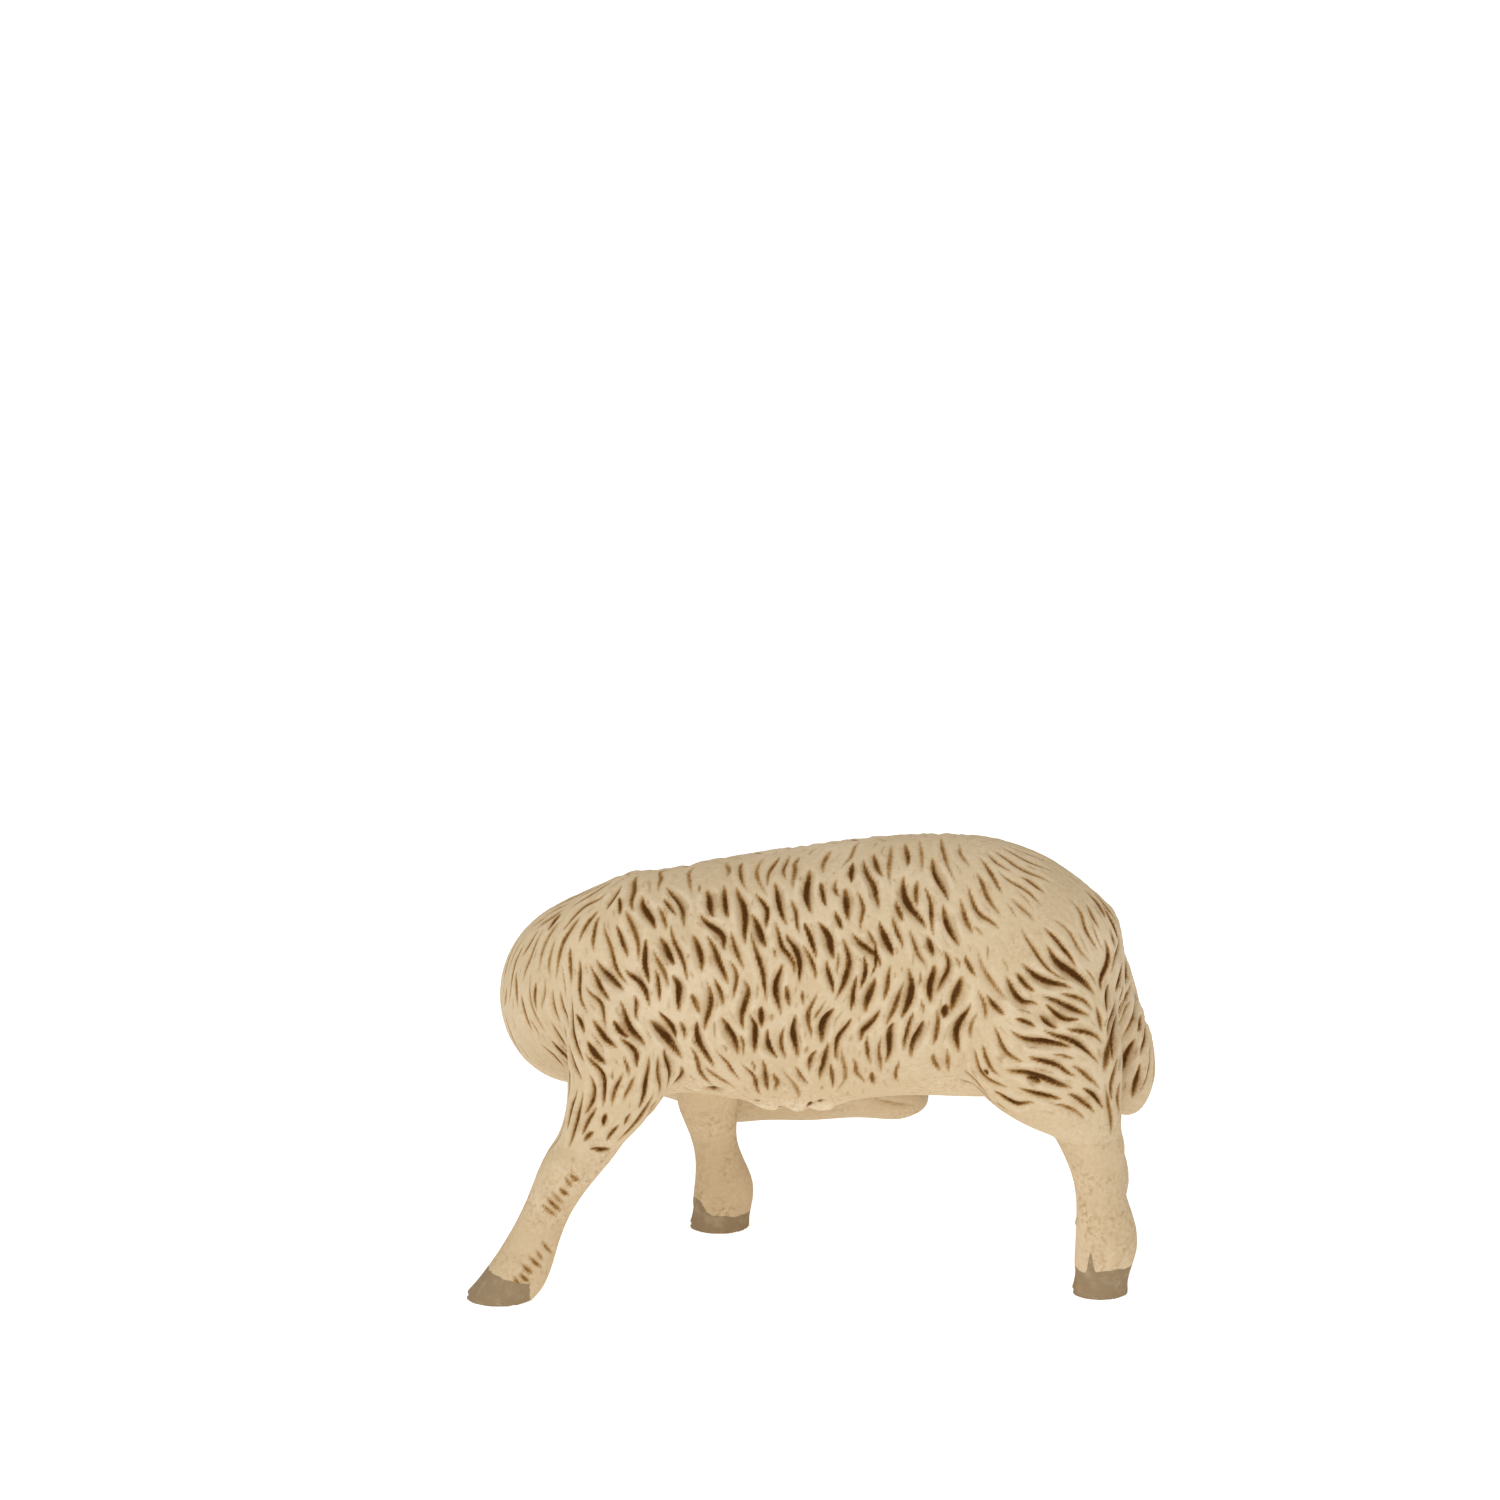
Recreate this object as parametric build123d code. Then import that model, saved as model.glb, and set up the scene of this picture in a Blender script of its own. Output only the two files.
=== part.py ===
from build123d import *

import os
from math import cos, radians, sin
from typing import NamedTuple

# Sheep figurine: a small standing ornament whose neck turns back along its right flank.
# The torso, neck, head, ears, tail and the four bare legs are separate castings. Each is seated
# face to face on its neighbour, and a steel pin sealed inside holds every seam.
# Millimetres, +Z up. The chest points to -X, the turned head is on the +Y side, and the origin is
# on the floor under the middle of the figure. Left and right are the sheep's own sides.

# Torso: the barrel runs forwards from the rump, towards -X
BACK_HEIGHT = 44.5
BELLY_HEIGHT = 17.0
BARREL_LENGTH = 43.3
BARREL_WIDTH = 24.6

# Barrel outline from the rump to the shoulders: share of the length, then the shares of the rise
# from belly to back that its upper and lower lines reach, then the share of the width
BARREL_OUTLINE = (
    (0.0, 0.576, 0.302, 0.26),
    (0.053, 0.770, 0.165, 0.61),
    (0.134, 0.871, 0.080, 0.81),
    (0.238, 0.957, 0.040, 0.935),
    (0.376, 1.0, 0.035, 0.976),
    (0.515, 0.996, 0.040, 1.0),
    (0.7, 0.963, 0.01, 1.0),
    (0.86, 0.925, 0.02, 0.99),
)

# Neck: a tapering tube that turns about an upright line beside the chest
NECK_ROOT_WIDTH = 19.2
NECK_ROOT_DEPTH = 22.0
NECK_ROOT_HEIGHT = 30.0
NECK_ROOT_OFFSET = 1.0  # the root lies this far to the left of the spine
NECK_CREASE = 0.65  # room between the turning line and the inside of the neck's root
NECK_SETBACK = 0.6  # how far the turning line stands ahead of the barrel
NECK_SEAM_TURN = 30.0  # degrees of turn at which the neck leaves the torso
NECK_EASE = 1.05  # above 1 the neck thins and drops late in its turn
NECK_SECTIONS = 5
NAPE_LENGTH = 4.6  # straight stretch from the end of the turn to the head
CHEST_TURN = 3.0  # degrees of turn of the chest, just behind the neck's seam
CHEST_SPREAD = 2.4  # the chest is this much wider than the neck's root
CHEST_SWELL = 0.9  # and this much deeper

# Head: measured along its own axis from the seam behind the ears to the muzzle
HEAD_LENGTH = 21.2
HEAD_WIDTH = 11.4
HEAD_DEPTH = 12.6
POLL_HEIGHT = 14.8
HEAD_TILT = 8.0
MUZZLE_DROP = 1.6  # the muzzle's foremost point lies this far below the head's axis

# Head outline: share of the length, upper and lower lines as shares of the depth from the axis,
# and the share of the width
HEAD_OUTLINE = (
    (0.0, 0.49, -0.49, 0.98),
    (0.17, 0.52, -0.48, 1.0),
    (0.38, 0.43, -0.43, 0.86),
    (0.57, 0.27, -0.37, 0.69),
    (0.75, 0.16, -0.33, 0.57),
    (0.89, 0.10, -0.31, 0.52),
    (0.965, 0.02, -0.26, 0.40),
)

# Face
EYE_RADIUS = 1.25
EYE_ALONG = 8.4
EYE_UP = 2.3
EYE_PROUD = 0.5
NOSTRIL_RADIUS = 0.55
NOSTRIL_SETBACK = 1.1  # behind the muzzle's foremost point
NOSTRIL_UP = 0.2
NOSTRIL_SPREAD = 2.6

# Ears: leaves with a scooped front, set into the sides of the head
EAR_LENGTH = 8.2
EAR_WIDTH = 4.4
EAR_THICKNESS = 1.9
EAR_HOLLOW = 0.8
EAR_HOLLOW_SHARE = 0.7  # the scoop's size as a share of the ear's
EAR_ALONG = 4.6
EAR_UP = 3.4
EAR_BURY = 0.9  # depth of the root below the side of the head
EAR_BACK = 0.72  # the ear points back, out and up in these proportions
EAR_OUT = 0.42
EAR_RISE = 0.46

# Ear outline: share of the length, then the shares of the width and the thickness
EAR_OUTLINE = ((0.0, 0.55, 0.9), (0.38, 1.0, 1.0), (0.76, 0.72, 0.7))

# Tail: hangs from the rump and is let into it
TAIL_DROP = 8.5  # from the back's highest point down to the tail's root
TAIL_LENGTH = 20.2
TAIL_WIDTH = 7.4
TAIL_DEPTH = 5.6

# Tail outline: share of the length, distance behind the rump as a share of the depth, then the
# shares of the width and the depth
TAIL_OUTLINE = (
    (0.0, -0.34, 0.30, 0.30),
    (0.16, -0.28, 0.66, 0.62),
    (0.42, -0.10, 0.94, 0.90),
    (0.68, 0.11, 1.0, 1.0),
    (0.86, 0.15, 0.90, 0.88),
    (0.965, 0.12, 0.66, 0.62),
)
TAIL_PIN_SECTION = TAIL_OUTLINE[2]  # the pin is level with this row

# Carved wool: strokes of a round gouge that swings in and out of the surface
GOUGE_RADIUS = 0.6
GOUGE_DEPTH = 0.45
GOUGE_SWING = 11.0  # radius of the swing; a wider one gives a longer stroke
GOUGE_ARC = 44.0  # degrees of the swing, enough to leave the surface at both ends
STROKE_PITCH = 3.2  # between neighbouring strokes of a row, along the body
STROKE_STRAY = 1.0  # the strokes stray this far along the body
STROKE_SCATTER = 5.0  # and by these degrees round the barrel
WOOL_START = 17.0  # the first strokes of the flanks, ahead of the rump
WOOL_REACH = 1.7  # the last ones on the back, ahead of the barrel's end
WOOL_END = BARREL_LENGTH + WOOL_REACH
WOOL_SLANT = 5.0  # the rows end this much further ahead on the left, and less far on the right
CHEST_LEAN = 26.0  # all rows come to lean like this towards the chest

# Rows on the flanks: degrees from the middle of the back, then the lean in degrees from upright,
# which is above 0 where a stroke's lower end lies nearer the rump
WOOL_ROWS = ((14.0, 5.0), (36.0, 12.0), (58.0, 24.0), (80.0, -14.0), (102.0, -20.0))

# Rows on the haunches, in the same form; they sweep towards the tail
HAUNCH_ROWS = ((78.0, 56.0), (92.0, 62.0), (106.0, 68.0), (121.0, 74.0))
HAUNCH_START = 5.4
HAUNCH_END = 10.0

# Strands of the tail: share of its length, then the degrees from straight behind
TAIL_STRANDS = ((0.45, -58.0), (0.45, 0.0), (0.45, 58.0), (0.74, -30.0), (0.74, 30.0))
TAIL_LEAN = 14.0  # the strands come together towards the tip

# Legs: every section is level, with its length along the body
LEG_FLATTENING = 0.87  # a leg's width across the body as a share of its length along it
CLEFT_WIDTH = 1.0
CLEFT_DEPTH = 2.2
CLEFT_HEIGHT = 2.0
MUSCLE_RISE = 9.0  # a shoulder or haunch ends this far above its middle, inside the barrel
MUSCLE_TOP_SHARE = 0.45  # and is that much smaller and closer to the spine there

# Pins: the depth is what each of the two castings holds
LEG_PIN_RADIUS = 0.8
LEG_PIN_DEPTH = 5.0
NECK_PIN_RADIUS = 1.5
NECK_PIN_DEPTH = 6.5
HEAD_PIN_RADIUS = 1.2
HEAD_PIN_DEPTH = 5.0
TAIL_PIN_RADIUS = 0.7
TAIL_PIN_DEPTH = 2.6
EAR_PIN_RADIUS = 0.4
EAR_PIN_DEPTH = 1.6
GLUE_GAP = 0.05  # room for glue round a pin


class Leg(NamedTuple):
    """One leg. Places are ahead of the rump, out from the spine and up from the floor."""

    name: str
    rows: tuple  # from the seam down to the sole: a place, then the length there
    muscle: tuple
    muscle_length: float
    muscle_width: float
    bend: tuple
    bend_length: float
    bend_width: float
    girth: float = 1.0


FORELEG_LEFT = Leg(
    "foreleg_left",
    rows=(
        (BARREL_LENGTH + 9.7, -9.2, 15.8, 6.9),
        (BARREL_LENGTH + 11.7, -9.6, 12.8, 6.4),
        (BARREL_LENGTH + 13.8, -10.0, 9.1, 5.2),
        (BARREL_LENGTH + 15.2, -10.2, 6.2, 5.4),
        (BARREL_LENGTH + 16.7, -10.4, 3.0, 6.5),
        (BARREL_LENGTH + 18.8, -10.5, 0.0, 7.0),
    ),
    muscle=(BARREL_LENGTH + 5.5, -6.6, 28.0),
    muscle_length=13.0,
    muscle_width=10.6,
    bend=(BARREL_LENGTH + 7.0, -8.5, 20.6),
    bend_length=9.8,
    bend_width=7.8,
)
FORELEG_RIGHT = Leg(
    "foreleg_right",
    rows=(
        (BARREL_LENGTH - 1.8, 9.2, 13.6, 6.2),
        (BARREL_LENGTH - 2.3, 9.4, 10.6, 5.1),
        (BARREL_LENGTH - 3.0, 9.6, 7.6, 5.0),
        (BARREL_LENGTH - 3.5, 9.9, 4.6, 6.1),
        (BARREL_LENGTH - 3.3, 10.0, 2.2, 6.2),
        (BARREL_LENGTH - 3.0, 10.0, 0.0, 6.3),
    ),
    muscle=(BARREL_LENGTH - 5.0, 6.0, 27.0),
    muscle_length=11.0,
    muscle_width=10.0,
    bend=(BARREL_LENGTH - 2.6, 8.1, 19.5),
    bend_length=7.8,
    bend_width=7.2,
)
HINDLEG_LEFT = Leg(
    "hindleg_left",
    rows=(
        (3.8, -8.9, 16.6, 6.9),
        (2.8, -9.0, 12.8, 5.4),
        (2.1, -9.1, 9.1, 5.4),
        (1.7, -9.2, 5.4, 6.3),
        (2.0, -9.2, 2.8, 5.9),
        (2.3, -9.2, 0.0, 5.8),
    ),
    muscle=(9.2, -6.6, 28.0),
    muscle_length=17.0,
    muscle_width=11.4,
    bend=(7.2, -8.4, 20.4),
    bend_length=13.8,
    bend_width=8.4,
)
HIND_STAGGER = 0.8  # the right hind leg stands this far behind the left one
HIND_RIGHT_GIRTH = 0.84


def opposite(leg, name, behind, girth):
    """The same leg on the other side of the spine, set back by a distance."""
    moved = {"name": name, "girth": girth}
    for field in ("muscle", "bend"):
        ahead, out, up = getattr(leg, field)
        moved[field] = (ahead - behind, -out, up)
    moved["rows"] = tuple((ahead - behind, -out, up, length) for ahead, out, up, length in leg.rows)
    return leg._replace(**moved)


LEGS = (
    FORELEG_LEFT,
    FORELEG_RIGHT,
    HINDLEG_LEFT,
    opposite(HINDLEG_LEFT, "hindleg_right", HIND_STAGGER, HIND_RIGHT_GIRTH),
)

LEFT = Vector(0, -1, 0)
AHEAD = Vector(-1, 0, 0)
UP = Vector(0, 0, 1)

NECK_RADIUS = NECK_ROOT_WIDTH / 2 + NECK_CREASE
HEAD_LINE = 2 * NECK_RADIUS - NECK_ROOT_OFFSET
NECK_AXIS = Vector(-BARREL_LENGTH - NECK_SETBACK, HEAD_LINE - NECK_RADIUS, 0)
NECK_TURN = 180.0  # the head points to the rear
HEAD_RUN = Vector(cos(radians(HEAD_TILT)), 0, -sin(radians(HEAD_TILT)))
HEAD_UP = Vector(sin(radians(HEAD_TILT)), 0, cos(radians(HEAD_TILT)))
HEAD_SEAT = Vector(NECK_AXIS.X + NAPE_LENGTH, HEAD_LINE, POLL_HEIGHT)
TAIL_TOP = BACK_HEIGHT - TAIL_DROP
GOLDEN = 0.618  # share of the golden section, which never falls into step with the rows


def place(spot):
    """Point from its distances ahead of the rump, out from the spine and up from the floor."""
    ahead, out, up = spot
    return Vector(-ahead, out, up)


def oval(centre, run, across, width, depth):
    """Elliptical section that faces along the run, with its width along the across direction."""
    return Plane(origin=centre, x_dir=across, z_dir=run) * Ellipse(width / 2, depth / 2)


def dowel(seam, radius, depth):
    """Pin across a seam, and the socket for it in the two castings that meet there."""
    pin = seam * Cylinder(radius, 2 * depth)
    socket = seam * Cylinder(radius + GLUE_GAP, 2 * (depth + GLUE_GAP))
    return pin, socket


def barrel_sections():
    """Upright sections of the barrel from the rump to the shoulders."""
    rise = BACK_HEIGHT - BELLY_HEIGHT
    sections = []
    for along, top, bottom, wide in BARREL_OUTLINE:
        middle = BELLY_HEIGHT + rise * (top + bottom) / 2
        centre = Vector(-along * BARREL_LENGTH, 0, middle)
        sections.append(oval(centre, AHEAD, LEFT, wide * BARREL_WIDTH, rise * (top - bottom)))
    return sections


def turned_plane(turned, height):
    """Upright plane across the neck at an angle of its turn, facing along the neck."""
    angle = radians(turned)
    outward = Vector(-sin(angle), -cos(angle), 0)
    run = Vector(-cos(angle), sin(angle), 0)
    return Plane(NECK_AXIS + outward * NECK_RADIUS + UP * height, x_dir=outward, z_dir=run)


def neck_section(turned, share):
    """Section of the neck at an angle of its turn, where share of its run lies behind it."""
    eased = share**NECK_EASE
    head_width = HEAD_OUTLINE[0][3] * HEAD_WIDTH
    head_depth = (HEAD_OUTLINE[0][1] - HEAD_OUTLINE[0][2]) * HEAD_DEPTH
    width = NECK_ROOT_WIDTH + (head_width - NECK_ROOT_WIDTH) * eased
    depth = NECK_ROOT_DEPTH + (head_depth - NECK_ROOT_DEPTH) * eased
    height = NECK_ROOT_HEIGHT + (POLL_HEIGHT - NECK_ROOT_HEIGHT) * eased
    return turned_plane(turned, height) * Ellipse(width / 2, depth / 2)


def make_neck():
    """Neck casting from the seam at the shoulders to the seam behind the ears."""
    turn = NECK_TURN - NECK_SEAM_TURN
    bend = radians(turn) * NECK_RADIUS
    sections = []
    for number in range(NECK_SECTIONS):
        step = number / (NECK_SECTIONS - 1)
        sections.append(neck_section(NECK_SEAM_TURN + turn * step, step * bend / (bend + NAPE_LENGTH)))
    sections.append(head_section(HEAD_OUTLINE[0]))
    return loft(sections)


def head_point(along, out, up):
    """Point of the head from its place along, beside and above the head's axis."""
    return HEAD_SEAT + HEAD_RUN * along - LEFT * out + HEAD_UP * up


def head_section(row):
    """Section of the head from one row of its outline."""
    along, top, bottom, wide = row
    centre = head_point(along * HEAD_LENGTH, 0, HEAD_DEPTH * (top + bottom) / 2)
    return oval(centre, HEAD_RUN, -LEFT, wide * HEAD_WIDTH, HEAD_DEPTH * (top - bottom))


def head_half_width(along, up):
    """Half the head's width at a place along it and a height above its axis."""
    share = along / HEAD_LENGTH
    rows = zip(HEAD_OUTLINE, HEAD_OUTLINE[1:])
    before, after = next(pair for pair in rows if share <= pair[1][0])
    mix = (share - before[0]) / (after[0] - before[0])
    top, bottom, wide = (a + (b - a) * mix for a, b in zip(before[1:], after[1:]))
    rise = (up / HEAD_DEPTH - (top + bottom) / 2) / ((top - bottom) / 2)
    return wide * HEAD_WIDTH / 2 * (1 - rise**2) ** 0.5


def make_head():
    """Head casting with its eyes and nostrils."""
    tip = head_point(HEAD_LENGTH, 0, -MUZZLE_DROP)
    head = loft([head_section(row) for row in HEAD_OUTLINE] + [Vertex(*tip)])
    eye_out = head_half_width(EYE_ALONG, EYE_UP) + EYE_PROUD - EYE_RADIUS
    for side in (-1, 1):
        head += Pos(*head_point(EYE_ALONG, side * eye_out, EYE_UP)) * Sphere(EYE_RADIUS)
        nostril = head_point(HEAD_LENGTH - NOSTRIL_SETBACK, side * NOSTRIL_SPREAD / 2, NOSTRIL_UP)
        head -= Pos(*nostril) * Sphere(NOSTRIL_RADIUS)
    return head


def ear_plane(side, along=0.0):
    """Plane across an ear at a distance from its root, facing out along the ear."""
    root = head_point(EAR_ALONG, side * (head_half_width(EAR_ALONG, EAR_UP) - EAR_BURY), EAR_UP)
    run = (HEAD_UP * EAR_RISE - HEAD_RUN * EAR_BACK - LEFT * side * EAR_OUT).normalized()
    return Plane(root + run * along, x_dir=run.cross(HEAD_RUN), z_dir=run)


def ear_leaf(side, share, forward):
    """Leaf of a share of the ear's size, moved forward out of the ear's middle plane."""
    sections = []
    for along, wide, thick in EAR_OUTLINE:
        plane = ear_plane(side, along * EAR_LENGTH * share) * Pos(0, -forward, 0)
        sections.append(plane * Ellipse(wide * EAR_WIDTH / 2 * share, thick * EAR_THICKNESS / 2 * share))
    tip = ear_plane(side, EAR_LENGTH * share) * Pos(0, -forward, 0)
    return loft(sections + [Vertex(*tip.position)])


def make_ear(side):
    """Ear with its scooped front, still with the root that the head then takes away."""
    forward = EAR_THICKNESS / 2 * (1 + EAR_HOLLOW_SHARE) - EAR_HOLLOW
    return ear_leaf(side, 1.0, 0.0) - ear_leaf(side, EAR_HOLLOW_SHARE, forward)


def make_tail():
    """Tail casting, which hangs from the rump."""
    sections = []
    for along, back, wide, deep in TAIL_OUTLINE:
        centre = Vector(back * TAIL_DEPTH, 0, TAIL_TOP - along * TAIL_LENGTH)
        sections.append(oval(centre, -UP, LEFT, wide * TAIL_WIDTH, deep * TAIL_DEPTH))
    tip = Vertex(TAIL_OUTLINE[-1][1] * TAIL_DEPTH, 0, TAIL_TOP - TAIL_LENGTH)
    return loft(sections + [tip])


def tail_seam():
    """Upright plane where the tail's inner side meets the rump, at the height of the pin."""
    along, back, wide, deep = TAIL_PIN_SECTION
    inner = (back - deep / 2) * TAIL_DEPTH
    return Plane((inner, 0, TAIL_TOP - along * TAIL_LENGTH), x_dir=LEFT, z_dir=-AHEAD)


def leg_pin_plane(leg):
    """Plane across a leg's pin, in the middle of the leg's seam."""
    seam = place(leg.rows[0][:3])
    run = place(leg.rows[1][:3]) - seam
    return Plane(seam, x_dir=run.cross(LEFT), z_dir=run)


def level_section(spot, length, width):
    """Level section with its length along the body."""
    return oval(place(spot), -UP, AHEAD, length, width)


def leg_section(leg, row):
    """Level section from one row of a leg."""
    length = row[3] * leg.girth
    return level_section(row[:3], length, length * LEG_FLATTENING)


def make_leg(leg):
    """Bare leg casting with its cloven hoof."""
    toe = place(leg.rows[-1][:3]) + AHEAD * (leg.rows[-1][3] * leg.girth / 2)
    cleft = Polyline(
        (toe.X - CLEFT_WIDTH, toe.Y - CLEFT_WIDTH),
        (toe.X + CLEFT_DEPTH, toe.Y),
        (toe.X - CLEFT_WIDTH, toe.Y + CLEFT_WIDTH),
        close=True,
    )
    return loft([leg_section(leg, row) for row in leg.rows]) - extrude(make_face(cleft), CLEFT_HEIGHT, both=True)


def make_muscle(leg):
    """Shoulder or haunch, from inside the barrel down to the leg's seam."""
    ahead, out, up = leg.muscle
    inside = (ahead, out * MUSCLE_TOP_SHARE, up + MUSCLE_RISE)
    sections = [
        level_section(inside, leg.muscle_length * MUSCLE_TOP_SHARE, leg.muscle_width * MUSCLE_TOP_SHARE),
        level_section(leg.muscle, leg.muscle_length, leg.muscle_width),
        level_section(leg.bend, leg.bend_length, leg.bend_width),
        leg_section(leg, leg.rows[0]),
    ]
    return loft(sections)


def make_torso():
    """Torso casting: barrel, chest, shoulders and haunches."""
    chest_width = NECK_ROOT_WIDTH + CHEST_SPREAD
    chest_depth = NECK_ROOT_DEPTH + CHEST_SWELL
    chest = turned_plane(CHEST_TURN, NECK_ROOT_HEIGHT) * Ellipse(chest_width / 2, chest_depth / 2)
    torso = loft(barrel_sections() + [chest, neck_section(NECK_SEAM_TURN, 0)])
    for leg in LEGS:
        torso += make_muscle(leg)
    return torso


def gouge(spot, normal, along):
    """Bent round bar that cuts one stroke into a surface, with its middle at the spot."""
    rim = Plane.YZ * Pos(0, GOUGE_RADIUS - GOUGE_SWING) * Circle(GOUGE_RADIUS)
    bar = Rot(0, -GOUGE_ARC / 2, 0) * revolve(rim, Axis.Y, revolution_arc=GOUGE_ARC)
    return Plane(spot + normal * (GOUGE_SWING - GOUGE_DEPTH), x_dir=along, z_dir=normal) * bar


def stroke(solid, start, out, down, lean):
    """Gouge where a ray from inside a solid leaves it, leaning by degrees from the way down."""
    hits = solid.find_intersection_points(Axis(start, out))
    spot, normal = max(hits, key=lambda hit: hit[0].dot(out))
    normal = normal * (1 if normal.dot(out) > 0 else -1)
    fall = (down - normal * down.dot(normal)).normalized()
    across = normal.cross(fall)
    return gouge(spot, normal, fall * cos(radians(lean)) + across * sin(radians(lean)))


def flank_stroke(torso, ahead, side, turned, lean):
    """Stroke on one side of the barrel, at degrees from the middle of the back."""
    angle = radians(turned)
    start = Vector(-ahead, 0, (BACK_HEIGHT + BELLY_HEIGHT) / 2)
    out = Vector(0, side * sin(angle), cos(angle))
    down = Vector(0, side * cos(angle), -sin(angle))
    return stroke(torso, start, out, down, -side * lean)


def row_of_strokes(first, last, number, turned):
    """Uneven places of a row's strokes, along the body and round it; every other row is staggered."""
    count = int((last - first) / STROKE_PITCH) + 1
    places = []
    for index in range(count):
        ahead = first + STROKE_PITCH * (index + number % 2 / 2)
        chance = GOLDEN * (index + number * count) % 1 - 0.5
        places.append((ahead + STROKE_STRAY * chance, turned + STROKE_SCATTER * (chance * 3 % 1 - 0.5)))
    return places


def wool_strokes(torso):
    """Gouges for the wool on both flanks and both haunches."""
    bars = []
    for side in (-1, 1):
        for number, (row, lean) in enumerate(WOOL_ROWS):
            last = WOOL_END - side * WOOL_SLANT * sin(radians(row))
            for ahead, turned in row_of_strokes(WOOL_START, last, number, row):
                share = (max(0, ahead - WOOL_START) / (WOOL_END - WOOL_START)) ** 2
                bars.append(flank_stroke(torso, ahead, side, turned, lean + (CHEST_LEAN - lean) * share))
        for number, (row, lean) in enumerate(HAUNCH_ROWS):
            for ahead, turned in row_of_strokes(HAUNCH_START, HAUNCH_END, number, row):
                bars.append(flank_stroke(torso, ahead, side, turned, lean))
    return bars


def tail_strokes(tail):
    """Gouges for the strands of the tail."""
    bars = []
    for along, turned in TAIL_STRANDS:
        start = Vector(TAIL_OUTLINE[-1][1] * TAIL_DEPTH, 0, TAIL_TOP - along * TAIL_LENGTH)
        out = Vector(cos(radians(turned)), sin(radians(turned)), 0)
        bars.append(stroke(tail, start, out, -UP, TAIL_LEAN * sin(radians(turned))))
    return bars


pieces = {}
torso = make_torso()
neck = make_neck() - make_muscle(FORELEG_LEFT)
head = make_head()
tail = make_tail()
torso -= tail

for leg in LEGS:
    pieces[leg.name + "_pin"], socket = dowel(leg_pin_plane(leg), LEG_PIN_RADIUS, LEG_PIN_DEPTH)
    pieces[leg.name] = make_leg(leg) - socket
    torso -= socket

neck_seam = turned_plane(NECK_SEAM_TURN, NECK_ROOT_HEIGHT)
pieces["neck_pin"], socket = dowel(neck_seam, NECK_PIN_RADIUS, NECK_PIN_DEPTH)
torso -= socket
neck -= socket

head_seam = Plane(HEAD_SEAT, x_dir=-LEFT, z_dir=HEAD_RUN)
pieces["head_pin"], socket = dowel(head_seam, HEAD_PIN_RADIUS, HEAD_PIN_DEPTH)
neck -= socket
head -= socket

pieces["tail_pin"], socket = dowel(tail_seam(), TAIL_PIN_RADIUS, TAIL_PIN_DEPTH)
torso -= socket
pieces["tail"] = tail - socket - tail_strokes(tail)

for name, side in (("ear_left", 1), ("ear_right", -1)):
    pieces[name + "_pin"], socket = dowel(ear_plane(side, EAR_BURY), EAR_PIN_RADIUS, EAR_PIN_DEPTH)
    pieces[name] = make_ear(side) - head - socket
    head -= socket

pieces["torso"] = torso - wool_strokes(torso)
pieces["neck"] = neck
pieces["head"] = head

# Move the origin to the floor under the middle of the whole figure
box = Compound(children=[Part(piece.wrapped) for piece in pieces.values()]).bounding_box()
centring = Pos(-box.center().X, -box.center().Y, -box.min.Z)

os.makedirs("parts", exist_ok=True)
for name, piece in pieces.items():
    export_step(centring * piece, f"parts/{name}.step")
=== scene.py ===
import logging
import math
from dataclasses import dataclass, field
from enum import Enum

import bmesh
import bpy
import numpy as np
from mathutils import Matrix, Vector, kdtree
from mathutils.bvhtree import BVHTree


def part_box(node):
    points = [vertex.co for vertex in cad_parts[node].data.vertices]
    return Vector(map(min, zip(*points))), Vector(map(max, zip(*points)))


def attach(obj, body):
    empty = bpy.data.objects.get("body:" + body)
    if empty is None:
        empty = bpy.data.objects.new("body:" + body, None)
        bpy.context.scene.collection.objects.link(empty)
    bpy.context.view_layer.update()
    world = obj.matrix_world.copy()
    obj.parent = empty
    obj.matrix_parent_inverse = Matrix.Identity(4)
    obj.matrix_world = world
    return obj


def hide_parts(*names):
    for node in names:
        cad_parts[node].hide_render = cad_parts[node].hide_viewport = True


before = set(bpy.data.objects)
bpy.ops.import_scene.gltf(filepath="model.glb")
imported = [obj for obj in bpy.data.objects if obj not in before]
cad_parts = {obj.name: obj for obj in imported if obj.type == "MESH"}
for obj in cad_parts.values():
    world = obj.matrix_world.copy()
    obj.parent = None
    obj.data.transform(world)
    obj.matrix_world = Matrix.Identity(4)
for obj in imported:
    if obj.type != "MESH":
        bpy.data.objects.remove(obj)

logging.basicConfig(level=logging.INFO, format="%(levelname)s %(name)s: %(message)s")
log = logging.getLogger("sheep")

MM = 0.001
SEED = 20
GOLDEN = 0.618  # scatters the main strokes, as in the part's source
LINE_STEP = 0.4  # between the points of a traced line, millimetres
FAR_OUT = 60.0  # from the barrel's axis to a place outside the figure, millimetres
PIN_NODES = [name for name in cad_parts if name.endswith("_pin")]
Colour = tuple[float, float, float, float]
Pairs = tuple[tuple[float, float], ...]


class Slot(Enum):
    """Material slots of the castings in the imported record."""

    FLEECE = "fleece"
    FACE = "face"
    LEG = "leg"


class Layer(Enum):
    """Named point attributes that carry the sculpting into the materials."""

    # wash: brown wash of the grooves, with painted shade in the haze round them and in the large concave
    # places
    WASH_AND_SHADE = "wash"
    # rub: wash rubbed off the ridges and lumps, together with a painted highlight on them
    RUB_AND_HIGHLIGHT = "rub_and_highlight"
    BARE = "bare"
    HOOF = "hoof"


CASTINGS: dict[str, Slot] = {
    "torso": Slot.FLEECE,
    "neck": Slot.FLEECE,
    "tail": Slot.FLEECE,
    "head": Slot.FACE,
    "ear_left": Slot.FACE,
    "ear_right": Slot.FACE,
    "foreleg_left": Slot.LEG,
    "foreleg_right": Slot.LEG,
    "hindleg_left": Slot.LEG,
    "hindleg_right": Slot.LEG,
}


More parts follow.
